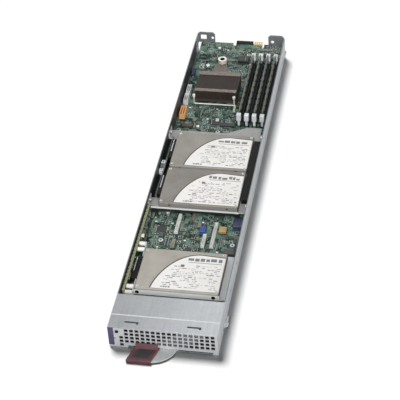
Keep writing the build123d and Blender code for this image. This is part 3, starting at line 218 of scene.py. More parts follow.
def sheet_metal(
    name, dull, bright, metallic=0.15, roughness=(0.44, 0.6), front=None, nose_end=None, rim=None,
    worn_edge=(232, 234, 235), sheen=None,
):
    """Zinc-coated sheet: faint spangle, rolling streaks, and paler edges that are partly wear and partly a
    painted highlight.

    Where they are given, two factors paint a reflection that darkens the sheet at its left and lightens it at
    its right, faces to the front get the front tone as a painted highlight, the sheet gets painted shade
    inside the nose, which ends at a given place along y, and what lies above the rim height gets painted
    shade along the sheet's top edge.
    """
    made = Finish(name, metallic=metallic)
    spangle = made.part(made.cells(2.6), "X")
    streak = made.noise(3.0, 4.0, made.stretched(1.0, 0.06, 1.0))
    cloud = made.noise(60.0, 2.0)
    share = made.math("ADD", made.times(spangle, 0.25), made.math("ADD", streak, cloud))
    base = made.mix(made.spread(share, 0.75, 1.5), dull, bright)
    # Painted reflection: the sheet is darker at its left and lighter at its right.
    if sheen:
        across = made.spread(made.along("X"), -PAINTED_SHEEN_HALF, PAINTED_SHEEN_HALF, *sheen)
        base = made.mix(1.0, base, across, "MULTIPLY")
    # Painted highlight: faces to the front take the lighter front tone.
    if front:
        base = made.mix(made.under(made.facing("Y"), -0.7), base, front)
    # Painted shade: the sheet inside the nose is darkened.
    if nose_end:
        inside = made.under(made.along("Y"), nose_end)
        for axis, half, middle in NOSE_INSIDE:
            inside = made.times(inside, made.under(made.away(axis, middle), half))
        base = made.mix(inside, base, shade(dull, NOSE_SHADE))
    # Edges are painted paler, partly as wear and partly as a painted highlight; a dark edge tone paints shade
    # on them instead.
    bevel, edge = made.edges(0.35)
    worn = made.times(edge, made.spread(made.noise(9.0, 5.0), 0.35, 0.65, 0.45, 0.95))
    base = made.mix(worn, base, worn_edge)
    # Painted shade: what lies above the rim height, the sheet's top edge, is darkened.
    if rim:
        shaded_top = made.over(made.along("Z"), rim)
        bare = made.mix(made.noise(6.0, 5.0), (100, 102, 102), (138, 140, 139))
        base = made.mix(shaded_top, base, bare)
    made.colour(base)
    made.rough(streak, *roughness)
    made.relief(made.noise(0.9), 0.02, 0.35, bevel)
    made.set("Specular IOR Level", 0.3)
    return made.made


def machined_metal(name, dull, bright, metallic=0.85, roughness=(0.22, 0.4)):
    """Plated or bare small metal parts, with fine grain and brighter edges."""
    made = Finish(name, metallic=metallic)
    fine = made.noise(0.6, 4.0)
    bevel, edge = made.edges(0.15)
    base = made.mix(made.spread(made.noise(4.0, 4.0), 0.35, 0.65), dull, bright)
    made.colour(made.mix(made.times(edge, 0.5), base, (238, 236, 230)))
    made.rough(fine, *roughness)
    made.relief(fine, 0.01, 0.3, bevel)
    return made.made


def moulded(name, dark, light, roughness=(0.38, 0.55), grain_mm=0.5, edge_mm=0.25, gloss=0.45, worn=None):
    """Moulded plastic: fine spark grain, cloudy colour, and edges rubbed a little paler."""
    made = Finish(name)
    cloud = made.noise(14.0, 4.0)
    base = made.mix(made.spread(cloud, 0.3, 0.7), dark, light)
    bevel, edge = made.edges(edge_mm)
    rub = made.times(edge, made.spread(made.noise(5.0, 4.0), 0.4, 0.65, 0.15, 0.7))
    made.colour(made.mix(rub, base, worn or shade(light, lift=38)))
    made.rough(made.noise(1.6, 4.0), *roughness)
    made.relief(made.noise(grain_mm, 2.0), 0.02, 0.3, bevel)
    made.set("Specular IOR Level", gloss)
    return made.made


def printed_board(name, mask, pour, trace, across="Z", bare=((96, 102, 78), (138, 140, 112))):
    """Solder mask over copper: square pours, runs of parallel traces, vias, and a bare laminate edge."""
    made = Finish(name)
    patch = made.cells(6.5, distance="CHEBYCHEV")
    lengthwise = made.stripes("X" if across == "Z" else "Z", 1.3, 0.42)
    crosswise = made.stripes("Y", 1.3, 0.42)
    pick = made.over(made.part(patch, "X"), 0.5)
    other = made.math("SUBTRACT", 1.0, pick)
    both = made.math("ADD", made.times(lengthwise, pick), made.times(crosswise, other))
    copper = made.times(both, made.over(made.part(patch, "Y"), 0.35))
    base = made.mix(made.spread(made.part(patch, "Z"), 0.45, 0.8), mask, pour)
    base = made.mix(made.times(copper, 0.45), base, trace)
    via = made.under(made.cells(2.6, "Distance"), 0.13)
    base = made.mix(made.times(via, 0.8), base, (150, 152, 126))
    base = made.mix(made.spread(made.noise(25.0, 4.0), 0.4, 0.7, 0.0, 0.15), base, pour)
    fibre = made.mix(made.noise(0.8), *bare)
    made.colour(made.mix(made.flank(across), base, fibre))
    made.rough(made.noise(3.0), 0.28, 0.45)
    made.relief(made.math("ADD", copper, made.times(via, -1.0)), 0.03, 0.5)
    made.set("Specular IOR Level", 0.12)
    return made.made


def module_board(name, middle_x, half_thick):
    """A memory module: green board between rows of black chips, with its bare top edge."""
    made = Finish(name)
    chip = made.over(made.away("X", middle_x), half_thick + 0.1 * MM)
    patch = made.part(made.cells(4.0, distance="CHEBYCHEV"), "X")
    board = made.mix(patch, (38, 74, 52), (62, 102, 70))
    up = made.over(made.facing("Z"), 0.7)
    rim = made.mix(made.noise(2.0, 4.0), (84, 83, 74), (108, 106, 95))
    board = made.mix(up, board, rim)
    bevel, edge = made.edges(0.2)
    resin = made.mix(made.noise(1.2, 4.0), (34, 34, 33), (52, 52, 50))
    # Painted highlight: the chips' top faces are lighter than their black sides.
    resin = made.mix(up, resin, (97, 96, 89))
    resin = made.mix(made.times(edge, 0.5), resin, (86, 86, 88))
    made.colour(made.mix(chip, board, resin))
    made.rough(made.noise(0.9), 0.4, 0.58)
    made.relief(made.noise(0.4, 2.0), 0.01, 0.3, bevel)
    return made.made


def socket_plastic(name, dark, light):
    """Memory socket: moulded body with a row of contact windows along its top, painted near-black as their
    shade.
    """
    made = Finish(name)
    # Painted shade: the contact windows on the top faces are near-black.
    window_shade = made.times(made.stripes("Y", 0.85, 0.4), made.over(made.facing("Z"), 0.7))
    bevel, edge = made.edges(0.25)
    base = made.mix(made.spread(made.noise(8.0, 4.0), 0.3, 0.7), dark, light)
    base = made.mix(made.times(edge, 0.4), base, shade(light, lift=46))
    made.colour(made.mix(made.times(window_shade, 0.7), base, (9, 9, 10)))
    made.rough(made.noise(1.2), 0.36, 0.52)
    made.relief(made.math("SUBTRACT", made.noise(0.5, 2.0), window_shade), 0.05, 0.4, bevel)
    return made.made


def cast_case(name, dark, light):
    """Drive case: bead-blasted light metal, warm grey, with slightly polished edges."""
    made = Finish(name, metallic=0.25)
    base = made.mix(made.spread(made.noise(30.0, 4.0), 0.35, 0.65), dark, light)
    speck = made.spread(made.noise(0.5, 2.0), 0.45, 0.7, 0.0, 0.16)
    base = made.mix(speck, base, (205, 202, 195))
    # Painted highlight: the case's side faces are lighter.
    base = made.mix(made.flank("Z"), base, shade(light, lift=26))
    # Painted shade: faces to the right are darker.
    base = made.mix(made.over(made.facing("X"), 0.5), base, shade(dark, 0.62))
    bevel, edge = made.edges(0.4)
    made.colour(made.mix(made.times(edge, 0.55), base, (214, 211, 204)))
    made.rough(made.noise(2.0, 4.0), 0.42, 0.58)
    made.relief(made.noise(0.35, 2.0), 0.02, 0.45, bevel)
    return made.made


def paper(name, light, dark):
    """Coated label stock: faint fibre, a little yellowing in patches."""
    made = Finish(name)
    fibre = made.noise(0.8, 4.0, made.stretched(0.5, 1.0, 1.0))
    base = made.mix(made.spread(fibre, 0.4, 0.75), light, dark)
    made.colour(made.mix(made.spread(made.noise(35.0), 0.5, 0.8, 0.0, 0.5), base, dark))
    made.rough(made.noise(5.0), 0.32, 0.48)
    made.relief(fibre, 0.01, 0.25)
    return made.made


def anodised_fins(name, dark, light):
    """Dark brown anodised aluminium with drawn streaks along the fins."""
    made = Finish(name, metallic=0.35)
    drawn = made.noise(1.4, 4.0, made.stretched(1.0, 0.08, 1.0))
    base = made.mix(made.spread(drawn, 0.3, 0.7), dark, light)
    # Painted highlight: the fins' side faces are lighter than their tops.
    base = made.mix(made.flank("Z"), base, shade(light, lift=10))
    bevel, edge = made.edges(0.12)
    made.colour(made.mix(made.times(edge, 0.35), base, (122, 106, 98)))
    made.rough(drawn, 0.4, 0.58)
    made.relief(made.noise(0.5), 0.01, 0.3, bevel)
    return made.made


def clear_resin(name):
    """Frosted clear light pipe."""
    made = Finish(name, roughness=0.25)
    made.colour(made.mix(made.noise(1.0), (214, 224, 226), (240, 244, 244)))
    made.set("Transmission Weight", 0.6)
    made.relief(made.noise(0.3, 2.0), 0.01, 0.3)
    return made.made


def paint(nodes, material):
    """Give CAD nodes their finish."""
    for node in nodes.split():
        slots = NODES[node].data.materials
        slots.clear()
        slots.append(material)


# Finishes that only CAD nodes have
ZINC = ((158, 162, 166), (178, 181, 183))
# Tone painted on faces to the front, as a painted highlight.
FRONT_HIGHLIGHT = (236, 237, 236)
# Height above which the tray's top edge gets painted shade.
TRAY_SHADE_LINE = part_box("chassis_tray")[1].z - 0.5 * MM
# The hood and flange get a painted reflection, darker at the left and lighter at the right.
paint("panel_flange front_hood", sheet_metal("hood_sheet", *ZINC, sheen=(0.78, 1.16)))
# The tray gets painted shade inside its nose and along its top edge.
paint("chassis_tray", sheet_metal("tray_sheet", *ZINC, nose_end=HOOD_END, rim=TRAY_SHADE_LINE))
# The panel's front faces get a painted highlight, and its hole rims a dark edge tone as painted shade.
paint("front_panel", sheet_metal("panel_sheet", *ZINC, front=(190, 193, 195), worn_edge=(84, 86, 87)))
paint("front_drive_bracket", sheet_metal("bracket_sheet", (178, 181, 182), (198, 200, 200), front=FRONT_HIGHLIGHT))
paint("drive_tray", sheet_metal("shelf_sheet", (140, 141, 141), (160, 160, 158), front=FRONT_HIGHLIGHT))
paint("rear_guide_left rear_guide_right", sheet_metal("ear_steel", (104, 107, 109), (128, 131, 132)))
paint("release_lever", sheet_metal("lever_steel", (168, 170, 171), (196, 197, 196), 0.4, (0.34, 0.48)))
paint("lever_grip", moulded("burgundy_plastic", (72, 42, 48), (94, 57, 63), (0.34, 0.5)))
paint("grip_insert", moulded("dark_insert", (46, 44, 46), (62, 59, 61), (0.5, 0.68), 0.3, gloss=0.3))
paint("end_cap", moulded("violet_plastic", (56, 50, 82), (76, 68, 104), (0.3, 0.44)))
paint("status_light_pipe", clear_resin("pipe_clear"))
paint("processor", machined_metal("lid_nickel", (150, 150, 146), (186, 186, 182)))
paint("heatsink", anodised_fins("fin_brown", (44, 37, 34), (64, 54, 50)))
paint("heatsink_straps", machined_metal("strap_steel", (100, 90, 84), (124, 113, 106), 0.3, (0.4, 0.55)))
paint("heatsink_arm", machined_metal("arm_steel", (88, 80, 74), (112, 102, 95), 0.3, (0.42, 0.58)))
wire_steel = machined_metal("wire_steel", (204, 201, 192), (232, 229, 220), 0.35, (0.3, 0.42))
paint("heatsink_clip heatsink_screw", wire_steel)
paint("boot_header", moulded("orange_plastic", (196, 136, 80), (226, 170, 110)))
paint("flex_headers", moulded("flex_white", (196, 199, 193), (224, 226, 220), worn=(240, 240, 236)))
paint("dimm_socket_1 dimm_socket_3", socket_plastic("socket_black", (11, 11, 12), (20, 20, 22)))
paint("dimm_socket_2 dimm_socket_4", socket_plastic("socket_blue", (14, 16, 34), (25, 28, 54)))
paint("main_board", printed_board("main_board_mask", (12, 36, 29), (98, 128, 114), (90, 118, 107)))
paint("riser_board", printed_board(
    "upright_board_mask", (20, 40, 30), (36, 60, 46), (60, 86, 66), "X", ((124, 130, 96), (164, 166, 132))
))
paint("drive_backplane", printed_board(
    "backplane_mask", (18, 24, 22), (28, 36, 33), (46, 54, 50), "X", ((92, 96, 94), (128, 132, 129))
))
paint("control_board", printed_board(
    "control_mask", (10, 14, 12), (16, 22, 19), (26, 34, 30), "Y", ((34, 36, 30), (46, 48, 40))
))
MODULE_HALF = 0.635 * MM
for place in range(1, 5):
    low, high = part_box(f"memory_module_{place}")
    module = module_board(f"module_board_{place}", (low.x + high.x) / 2, MODULE_HALF)
    paint(f"memory_module_{place}", module)

# Finishes that added pieces have too
# Paler zinc for the flange's hem, as a painted highlight where the rolled edge catches light.
bright_sheet = sheet_metal("bright_sheet", (192, 195, 197), (212, 214, 215))
screw_steel = machined_metal("screw_steel", (150, 150, 150), (190, 190, 188))
paint("lever_pivot board_screws wall_screws board_standoffs", screw_steel)
solder = machined_metal("solder", (98, 106, 102), (138, 146, 140), 0.5, (0.35, 0.5))
bright_tin = machined_metal("bright_tin", (176, 178, 178), (214, 215, 212), 0.75, (0.26, 0.42))
gilt = machined_metal("gilt", (178, 148, 84), (214, 188, 122), 0.8, (0.25, 0.38))
paint("power_contacts", gilt)
BLACK = ((12, 12, 13), (22, 22, 23))
black_plastic = moulded("black_plastic", *BLACK, (0.55, 0.7), gloss=0.15, worn=(44, 45, 46))
paint("power_button power_switch drive_side_guide drive_plugs rear_connector", black_plastic)
white_plastic = moulded("white_plastic", (192, 195, 199), (224, 226, 227), worn=(246, 246, 246))
paint("data_header_rear data_header_front", white_plastic)
for place in range(1, 5):
    paint(f"dimm_latch_front_{place} dimm_latch_rear_{place}", white_plastic)
nylon = moulded("white_nylon", (214, 213, 206), (238, 236, 230), worn=(246, 245, 242))
paint("riser_spacers", nylon)
header_blue = moulded("header_blue", (34, 62, 118), (54, 88, 150))
paint("jumper_header", header_blue)
navy = moulded("navy_plastic", (36, 42, 72), (56, 62, 96))
paint("side_connector", navy)
resin_black = moulded("chip_resin", (28, 28, 30), (46, 46, 48), (0.42, 0.6), 0.3, 0.15)
paint("board_chips", resin_black)
ceramic_tan = moulded("ceramic_tan", (120, 106, 82), (150, 134, 104), (0.4, 0.55), 0.3, 0.1)
ceramic_grey = moulded("ceramic_grey", (88, 98, 92), (122, 132, 124), (0.4, 0.55), 0.3, 0.1)
ferrite = moulded("ferrite", (58, 60, 60), (82, 84, 82), (0.5, 0.66), 0.3, 0.2)
choke_brown = moulded("choke_brown", (64, 54, 50), (88, 76, 70), (0.5, 0.66), 0.3, 0.2)
rail_olive = moulded("rail_olive", (116, 122, 94), (150, 154, 122), (0.45, 0.6))
core_tan = moulded("core_tan", (148, 126, 78), (184, 160, 106), (0.42, 0.6), 0.4, 0.2)
groove_grey = moulded("groove_grey", (64, 62, 58), (82, 80, 75), (0.5, 0.65))
# Black for sheets that stand in for shade: on the left wall, in the flange's slits and under the drive tray.
film_black = moulded("film_black", (24, 25, 26), (38, 40, 41), (0.34, 0.5), 0.8, 0.1)
screen_ink = paper("screen_print", (214, 222, 214), (178, 190, 180))
label_paper = paper("label_paper", (234, 232, 229), (219, 217, 213))
label_grey = paper("label_grey", (104, 104, 106), (126, 126, 128))
label_rule = paper("label_rule", (192, 192, 193), (206, 206, 206))
label_shade = paper("label_shade", (150, 150, 152), (166, 166, 167))
CASE_TONES = {"drive_front": (142, 138, 130), "drive_middle": (104, 101, 95), "drive_rear": (120, 117, 110)}
drive_cases = {}
for drive, case in CASE_TONES.items():
    drive_cases[drive] = cast_case(f"case_of_{drive}", case, shade(case, lift=16))
    paint(drive, drive_cases[drive])


# Meshes made of stacked outlines
def rectangle(x, y, z):
    """Four corners round a span in x and a span in y, at one height."""
    return [(x[0], y[0], z), (x[1], y[0], z), (x[1], y[1], z), (x[0], y[1], z)]


def circle(x, y, z, radius, count=16):
    turns = [math.tau * step / count for step in range(count)]
    return [(x + radius * math.cos(turn), y + radius * math.sin(turn), z) for turn in turns]


def span(middle, size):
    return (middle - size / 2, middle + size / 2)


def shrunk(ends, by):
    return (ends[0] + by, ends[1] - by)


def halfway(ends):
    return (ends[0] + ends[1]) / 2


def both_ends(ends, length):
    """The first and the last stretch of a span."""
    return (ends[0], ends[0] + length), (ends[1] - length, ends[1])


def add_object(name, data):
    """A new object in the scene."""
    made = bpy.data.objects.new(name, data)
    bpy.context.scene.collection.objects.link(made)
    return made


class Build:
    """The faces of one piece, each with its finish. The first finish is the piece's own."""

    def __init__(self, finish):
        self.points = []
        self.faces = []
        self.paints = []
        self.finishes = [finish]

    def face(self, corners, finish):
        if finish not in self.finishes:
            self.finishes.append(finish)
        self.faces.append(tuple(corners))
        self.paints.append(self.finishes.index(finish))

    def stack(self, loops, finish=None, top=None):
        """Join outlines of equal length, each above the last, into one closed skin."""
        finish = finish or self.finishes[0]
        start = len(self.points)
        count = len(loops[0])
        for loop in loops:
            self.points += loop
        for level in range(len(loops) - 1):
            base = start + level * count
            for i in range(count):
                j = (i + 1) % count
                self.face((base + i, base + j, base + count + j, base + count + i), finish)
        self.face(reversed(range(start, start + count)), finish)
        self.face(range(len(self.points) - count, len(self.points)), top or finish)

    def block(self, x, y, z, finish=None, chamfer=0.0):
        """A box, with its upper edges chamfered where a chamfer is given."""
        loops = [rectangle(x, y, z[0]), rectangle(x, y, z[1] - chamfer)]
        if chamfer:
            loops.append(rectangle(shrunk(x, chamfer), shrunk(y, chamfer), z[1]))
        self.stack(loops, finish)

    def turned(self, x, y, profile, finish=None, count=16):
        """A round part from pairs of radius and height."""
        self.stack([circle(x, y, z, radius, count) for radius, z in profile], finish)

    def plate(self, outline, z):
        """A sheet on an outline of x and y, between two heights."""
        self.stack([[(x, y, height) for x, y in outline] for height in z])

    def beam(self, outline, x):
        """A beam on an outline of y and z, between two places along x."""
        self.stack([[(place, y, z) for y, z in outline] for place in x])

    def done(self, name):
        """Make the piece and let it ride."""
        mesh = bpy.data.meshes.new(name)
        mesh.from_pydata(self.points, [], self.faces)
        for finish in self.finishes:
            mesh.materials.append(finish)
        mesh.polygons.foreach_set("material_index", self.paints)
        mesh.polygons.foreach_set("use_smooth", [True] * len(self.faces))
        mesh.set_sharp_from_angle(angle=math.radians(35))
        mesh.validate()
        piece = add_object(name, mesh)
        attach(piece, BODY)
        return piece


def islands(node):
    """The boxes of a node's separate solids."""
    work = bmesh.new()
    work.from_mesh(NODES[node].data)
    bmesh.ops.remove_doubles(work, verts=work.verts, dist=0.001 * MM)
    found = []
    left = set(work.verts)
    while left:
        edge = [left.pop()]
        group = list(edge)
        while edge:
            near = [e.other_vert(v) for v in edge for e in v.link_edges]
            edge = [v for v in set(near) if v in left]
            left.difference_update(edge)
            group += edge
        found.append(tuple(
            (min(v.co[axis] for v in group), max(v.co[axis] for v in group)) for axis in range(3)
        ))
    work.free()
    return sorted(found)


# Drives: raised lid, paper label with plain printed bars, a dark strip as painted shade at the lid's step,
# corner screws
LABEL_START = Vector((0.19, 0.04))
LABEL_PULLS = (Vector((0.225, 0.42)), Vector((0.42, 0.91)))
LABEL_CREST = Vector((0.70, 0.91))
LABEL_CORNERS = [Vector((0.985, 0.88)), Vector((0.99, 0.04))]
CURVE_POINTS = 25
LABEL_RISE = 0.1 * MM
INK_RISE = 0.03 * MM
TITLE_SPAN = (0.55, 0.92)
TITLE_LINE = 0.745
TITLE_RULE = (0.56, 0.715, 0.40, 0.012)
TITLE_STAMP = (0.475, 0.60, 0.045, 0.055)
TEXT_ROWS = 14
TEXT_START = 0.09
TEXT_PITCH = 0.042
TEXT_LEFT = 0.29
TEXT_RIGHT = 0.94
TEXT_HEIGHTS = (0.014, 0.018, 0.022)
TEXT_GAPS = (0.008, 0.012, 0.016, 0.03, 0.14)
TEXT_INKS = (label_rule, label_shade, label_shade, label_shade, label_grey)
LID_INSET = 0.7 * MM
LID_RISE = 0.35 * MM
STEP_SHADE_WIDTH = 1.6 * MM
STEP_SHADE_RISE = 0.05 * MM
SCREW_INSET = 3.4 * MM
SCREW_RADIUS = 1.7 * MM
SCREW_RISE = 0.5 * MM
STAR_POINTS = 24


def offset_line(points, distance):
    """A line of flat points moved to its left by a distance."""
    moved = []
    for i, point in enumerate(points):
        ahead = points[min(i + 1, len(points) - 1)]
        behind = points[max(i - 1, 0)]
        along = (ahead - behind).normalized()
        moved.append(point + Vector((-along.y, along.x)) * distance)
    return moved


def star(radius):
    """A six-lobed driver recess in a head of that radius, as flat points round its middle."""
    points = []
    for step in range(STAR_POINTS):
        turn = math.tau * step / STAR_POINTS
        reach = radius * (0.46 + 0.1 * math.cos(6 * turn))
        points.append((reach * math.cos(turn), reach * math.sin(turn)))
    return points


def star_screw(build, x, y, z, radius, rise, metal):
    """A low screw head with a six-lobed recess, its floor painted black as painted shade."""
    rings = ((radius, 0.0), (radius, rise * 0.6), (radius * 0.82, rise))
    loops = [circle(x, y, z + level, reach, STAR_POINTS) for reach, level in rings]
    for level in (rise, rise * 0.2):
        loops.append([(x + u, y + v, z + level) for u, v in star(radius)])
    build.stack(loops, metal, black_plastic)


def dress_drive(node, seed):
    """The lid, label and screws on one drive's top.

    Places and sizes on the label are shares of the drive's sides. Its curved edge runs from its front left
    corner to its crest.
    """
    low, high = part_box(node)
    size = high - low
    draw = random.Random(seed)

    def at(share):
        return Vector((low.x + share.x * size.x, low.y + share.y * size.y))

    shares = interpolate_bezier(LABEL_START, *LABEL_PULLS, LABEL_CREST, CURVE_POINTS)
    curve = [at(share) for share in shares]
    corners = [at(point) for point in LABEL_CORNERS]
    inner = curve + corners[:1]
    outer = offset_line(inner, STEP_SHADE_WIDTH)

    lid = Build(drive_cases[node])
    left, right = shrunk((low.x, high.x), LID_INSET)
    back = high.y - LID_INSET
    around = [(right, outer[-1].y), (right, back), (left, back), (left, curve[0].y)]
    lid.plate((outer[:-1] + around)[::-1], (high.z, high.z + LID_RISE))
    lid.done(f"{node}.lid")

    label = Build(label_paper)
    paper_top = high.z + LABEL_RISE
    label.plate((curve + corners)[::-1], (high.z, paper_top))

    def mark(u, v, width, depth, ink):
        start = at(Vector((u, v)))
        across = (start.x, start.x + width * size.x)
        label.block(across, (start.y, start.y + depth * size.y), (paper_top, paper_top + INK_RISE), ink)

    u = TITLE_SPAN[0]
    while u < TITLE_SPAN[1]:
        width = draw.uniform(0.03, 0.075)
        mark(u, TITLE_LINE + draw.uniform(0, 0.025), width, draw.uniform(0.045, 0.08), label_grey)
        u += width + draw.uniform(0.008, 0.024)
    mark(*TITLE_RULE, label_grey)
    mark(*TITLE_STAMP, label_grey)
    for row in range(TEXT_ROWS):
        v = TEXT_START + row * TEXT_PITCH
        u = TEXT_LEFT + 0.36 * max(0.0, v - 0.32) + draw.uniform(0.0, 0.12)
        while u < TEXT_RIGHT:
            width = min(draw.uniform(0.015, 0.06), 0.965 - u)
            mark(u, v, width, draw.choice(TEXT_HEIGHTS), draw.choice(TEXT_INKS))
            u += width + draw.choice(TEXT_GAPS)
    for step in range(4):
        mark(0.30 + 0.03 * step, 0.07, 0.022, 0.035, label_grey if step % 2 else label_shade)
    label.done(f"{node}.label")

    # Painted shade: a dark strip between the label and the raised lid, where the lid's step shades it.
    step_shade = Build(groove_grey)
    step_shade.plate((outer + inner[::-1])[::-1], (high.z, high.z + STEP_SHADE_RISE))
    step_shade.done(f"{node}.groove")

    screws = Build(bright_tin)
    for x in shrunk((low.x, high.x), SCREW_INSET):
        for y in shrunk((low.y, high.y), SCREW_INSET):
            rise = LID_RISE if (x < 0 or y > low.y + size.y / 2) else 0.0
            star_screw(screws, x, y, high.z + rise, SCREW_RADIUS, SCREW_RISE, bright_tin)
    screws.done(f"{node}.screws")


for seed, drive in enumerate(drive_cases):
    dress_drive(drive, seed)


# Black grommets in the two holes of the front bracket's flange
GROMMET_INSETS = (3.7 * MM, 6.3 * MM)
FLANGE_STANDS_OFF = 2.02 * MM
FLANGE_MIDDLE = 2.8 * MM
GROMMET_PROFILE = [(1.6, -0.9), (1.6, 0.0), (2.4, 0.0), (2.4, 0.3), (1.9, 0.55), (0.9, 0.55), (0.9, 0.1)]
grommets = Build(black_plastic)
carried_low, carried_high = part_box("drive_front")
flange_face = carried_low.y - FLANGE_STANDS_OFF
flange_line = carried_low.z + FLANGE_MIDDLE
for x in (carried_low.x + GROMMET_INSETS[0], carried_high.x - GROMMET_INSETS[1]):
    rings = [circle(x, flange_line, flange_face - rise * MM, radius * MM) for radius, rise in GROMMET_PROFILE]
    grommets.stack([[(u, depth, v) for u, v, depth in ring] for ring in rings])
grommets.done("bracket_grommets")


# Larger chips: each solid of the node becomes a legged or tall part in the same box
LEG = 0.9 * MM
LEG_THICK = 0.25 * MM
LEG_SHARE = 0.45
CHIP_LIFT = 0.15 * MM
DIMPLE_INSET = 1.6 * MM
DIMPLE_PROFILE = [(0.55, 0.0), (0.5, 0.03)]
CORE_LIFT = 0.1 * MM
CORE_BASE = 1.0 * MM
CORE_INSET = 0.7 * MM
CORE_FOOT = 1.2 * MM
CORE_FOOT_THICK = 0.5 * MM
CORE_FOOT_SHARE = 0.4
TALL_CHIP = 4.0 * MM
TAN_CORE_END = 45.0 * MM


def flat_pack(build, x, y, z, pitch=1.0 * MM):
    """A flat chip with legs on its four sides and a pin-one dimple."""
    body_x, body_y = shrunk(x, LEG), shrunk(y, LEG)
    build.block(body_x, body_y, (z[0] + CHIP_LIFT, z[1]), resin_black, 0.2 * MM)
    foot = (z[0], z[0] + LEG_THICK)
    for along, across in ((body_x, y), (body_y, x)):
        count = int((along[1] - along[0] - pitch) / pitch)
        first = halfway(along) - (count - 1) * pitch / 2
        for step in range(count):
            lie = span(first + step * pitch, LEG_SHARE * pitch)
            for reach in both_ends(across, LEG):
                room = (lie, reach) if along is body_x else (reach, lie)
                build.block(*room, foot, bright_tin)
    dimple = (body_x[0] + DIMPLE_INSET, body_y[1] - DIMPLE_INSET)
    profile = [(radius * MM, z[1] + rise * MM) for radius, rise in DIMPLE_PROFILE]
    build.turned(*dimple, profile, bright_tin, 12)


def wound_core(build, x, y, z, core):
    """A square power choke: moulded core, lower base, metal feet."""
    base = z[0] + CORE_BASE
    build.block(x, y, (z[0] + CORE_LIFT, base), resin_black, 0.2 * MM)
    build.block(shrunk(x, CORE_INSET), shrunk(y, CORE_INSET), (base, z[1]), core, 0.8 * MM)
    foot_x = span(halfway(x), CORE_FOOT_SHARE * (x[1] - x[0]))
    for foot_y in both_ends(y, CORE_FOOT):
        build.block(foot_x, foot_y, (z[0], z[0] + CORE_FOOT_THICK), bright_tin)


chips = Build(resin_black)
for x, y, z in islands("board_chips"):
    if z[1] - z[0] < TALL_CHIP:
        flat_pack(chips, x, y, z)
    elif y[0] > 0:
        wound_core(chips, x, y, z, resin_black)
        strip = span(x[0] + 0.68 * (x[1] - x[0]), 1.2 * MM)
        chips.block(strip, shrunk(y, 1.6 * MM), (z[1] - 0.3 * MM, z[1] + 0.05 * MM), ceramic_grey)
    else:
        wound_core(chips, x, y, z, core_tan if x[1] < TAN_CORE_END else ferrite)
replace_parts(chips.done("board_chips.dressed"), "board_chips")


# Connectors: plain boxes become ribbed housings, and open ones get rows of contacts
RIB = 0.35 * MM
RIB_COUNT = 3
RIB_LENGTH = 1.0 * MM
RIB_DROP = 0.9 * MM
PIN_HOLE = 1.1 * MM
SOCKET_DEPTH = 0.1 * MM
SOCKET_RISE = 0.02 * MM
CONTACT_PITCH = 1.27 * MM
CONTACT_RISE = 0.04 * MM
TONGUE_INSET = 2.6 * MM
TONGUE_DROP = 1.2 * MM
LEAD_SHARE = 0.65


def socket_z(top):
    """The heights of a pin socket set in a top face, which is painted black as the shade in its hole."""
    return (top - SOCKET_DEPTH, top + SOCKET_RISE)


def ribbed_housing(node, plastic, rows):
    """A housing in a node's box: plinth, chamfered body, ribs on its sides and sockets on its top painted
    black as shade.
    """
    (x, y, z), = islands(node)
    wide, deep, tall = (ends[1] - ends[0] for ends in (x, y, z))
    made = Build(plastic)
    made.block(x, y, (z[0], z[0] + 0.25 * tall), chamfer=0.2 * MM)
    made.block(shrunk(x, RIB), shrunk(y, RIB), (z[0] + 0.2 * tall, z[1]), chamfer=0.5 * MM)
    for step in range(RIB_COUNT):
        along = span(y[0] + (step + 0.5) / RIB_COUNT * deep, RIB_LENGTH)
        for reach in both_ends(x, RIB):
            made.block(reach, along, (z[0] + 0.2 * tall, z[1] - RIB_DROP), chamfer=0.15 * MM)
    for column in range(2):
        for row in range(rows):
            hole_x = span(x[0] + (column + 1) / 3 * wide, PIN_HOLE)
            hole_y = span(y[0] + (row + 1) / (rows + 1) * deep, PIN_HOLE)
            made.block(hole_x, hole_y, socket_z(z[1]), black_plastic)
    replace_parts(made.done(f"{node}.dressed"), node)


ribbed_housing("jumper_header", header_blue, 3)
ribbed_housing("side_connector", navy, 6)

contacts = Build(gilt)
for x, y, z in islands("flex_headers"):
    for step in range(1, int((y[1] - y[0]) / CONTACT_PITCH)):
        along = span(y[0] + step * CONTACT_PITCH, 0.45 * CONTACT_PITCH)
        for reach in both_ends(shrunk(x, 0.4 * MM), 0.6 * MM):
            contacts.block(reach, along, span(z[1], 2 * CONTACT_RISE), ceramic_grey)
for header in ("data_header_rear", "data_header_front", "boot_header"):
    (x, y, z), = islands(header)
    tongue = shrunk(y, TONGUE_INSET)
    top = z[1] - TONGUE_DROP
    for step in range(int((tongue[1] - tongue[0]) / CONTACT_PITCH) + 1):
        along = span(tongue[0] + step * CONTACT_PITCH, 0.5 * CONTACT_PITCH)
        contacts.block(span(halfway(x), 1.3 * MM), along, (top - 2.0 * MM, top + CONTACT_RISE))
for x, y, z in islands("drive_plugs"):
    lead_x = (x[0] + 1.6 * MM, x[0] + 2.8 * MM)
    for step in range(int(LEAD_SHARE * (y[1] - y[0]) / CONTACT_PITCH)):
        along = span(y[1] - (step + 1) * CONTACT_PITCH, 0.6 * CONTACT_PITCH)
        contacts.block(lead_x, along, span(z[1], 2 * CONTACT_RISE), bright_tin)
contacts.done("header_contacts")


# Driver recesses in the screw heads, painted black as their shade, and a black lining in the cooler's cup as
# the shade inside it
RECESS_RISE = 0.03 * MM
CUP_OUTSIDE = 3.35 * MM
CUP_INSIDE = 3.05 * MM
CUP_DEPTH = 4.2 * MM
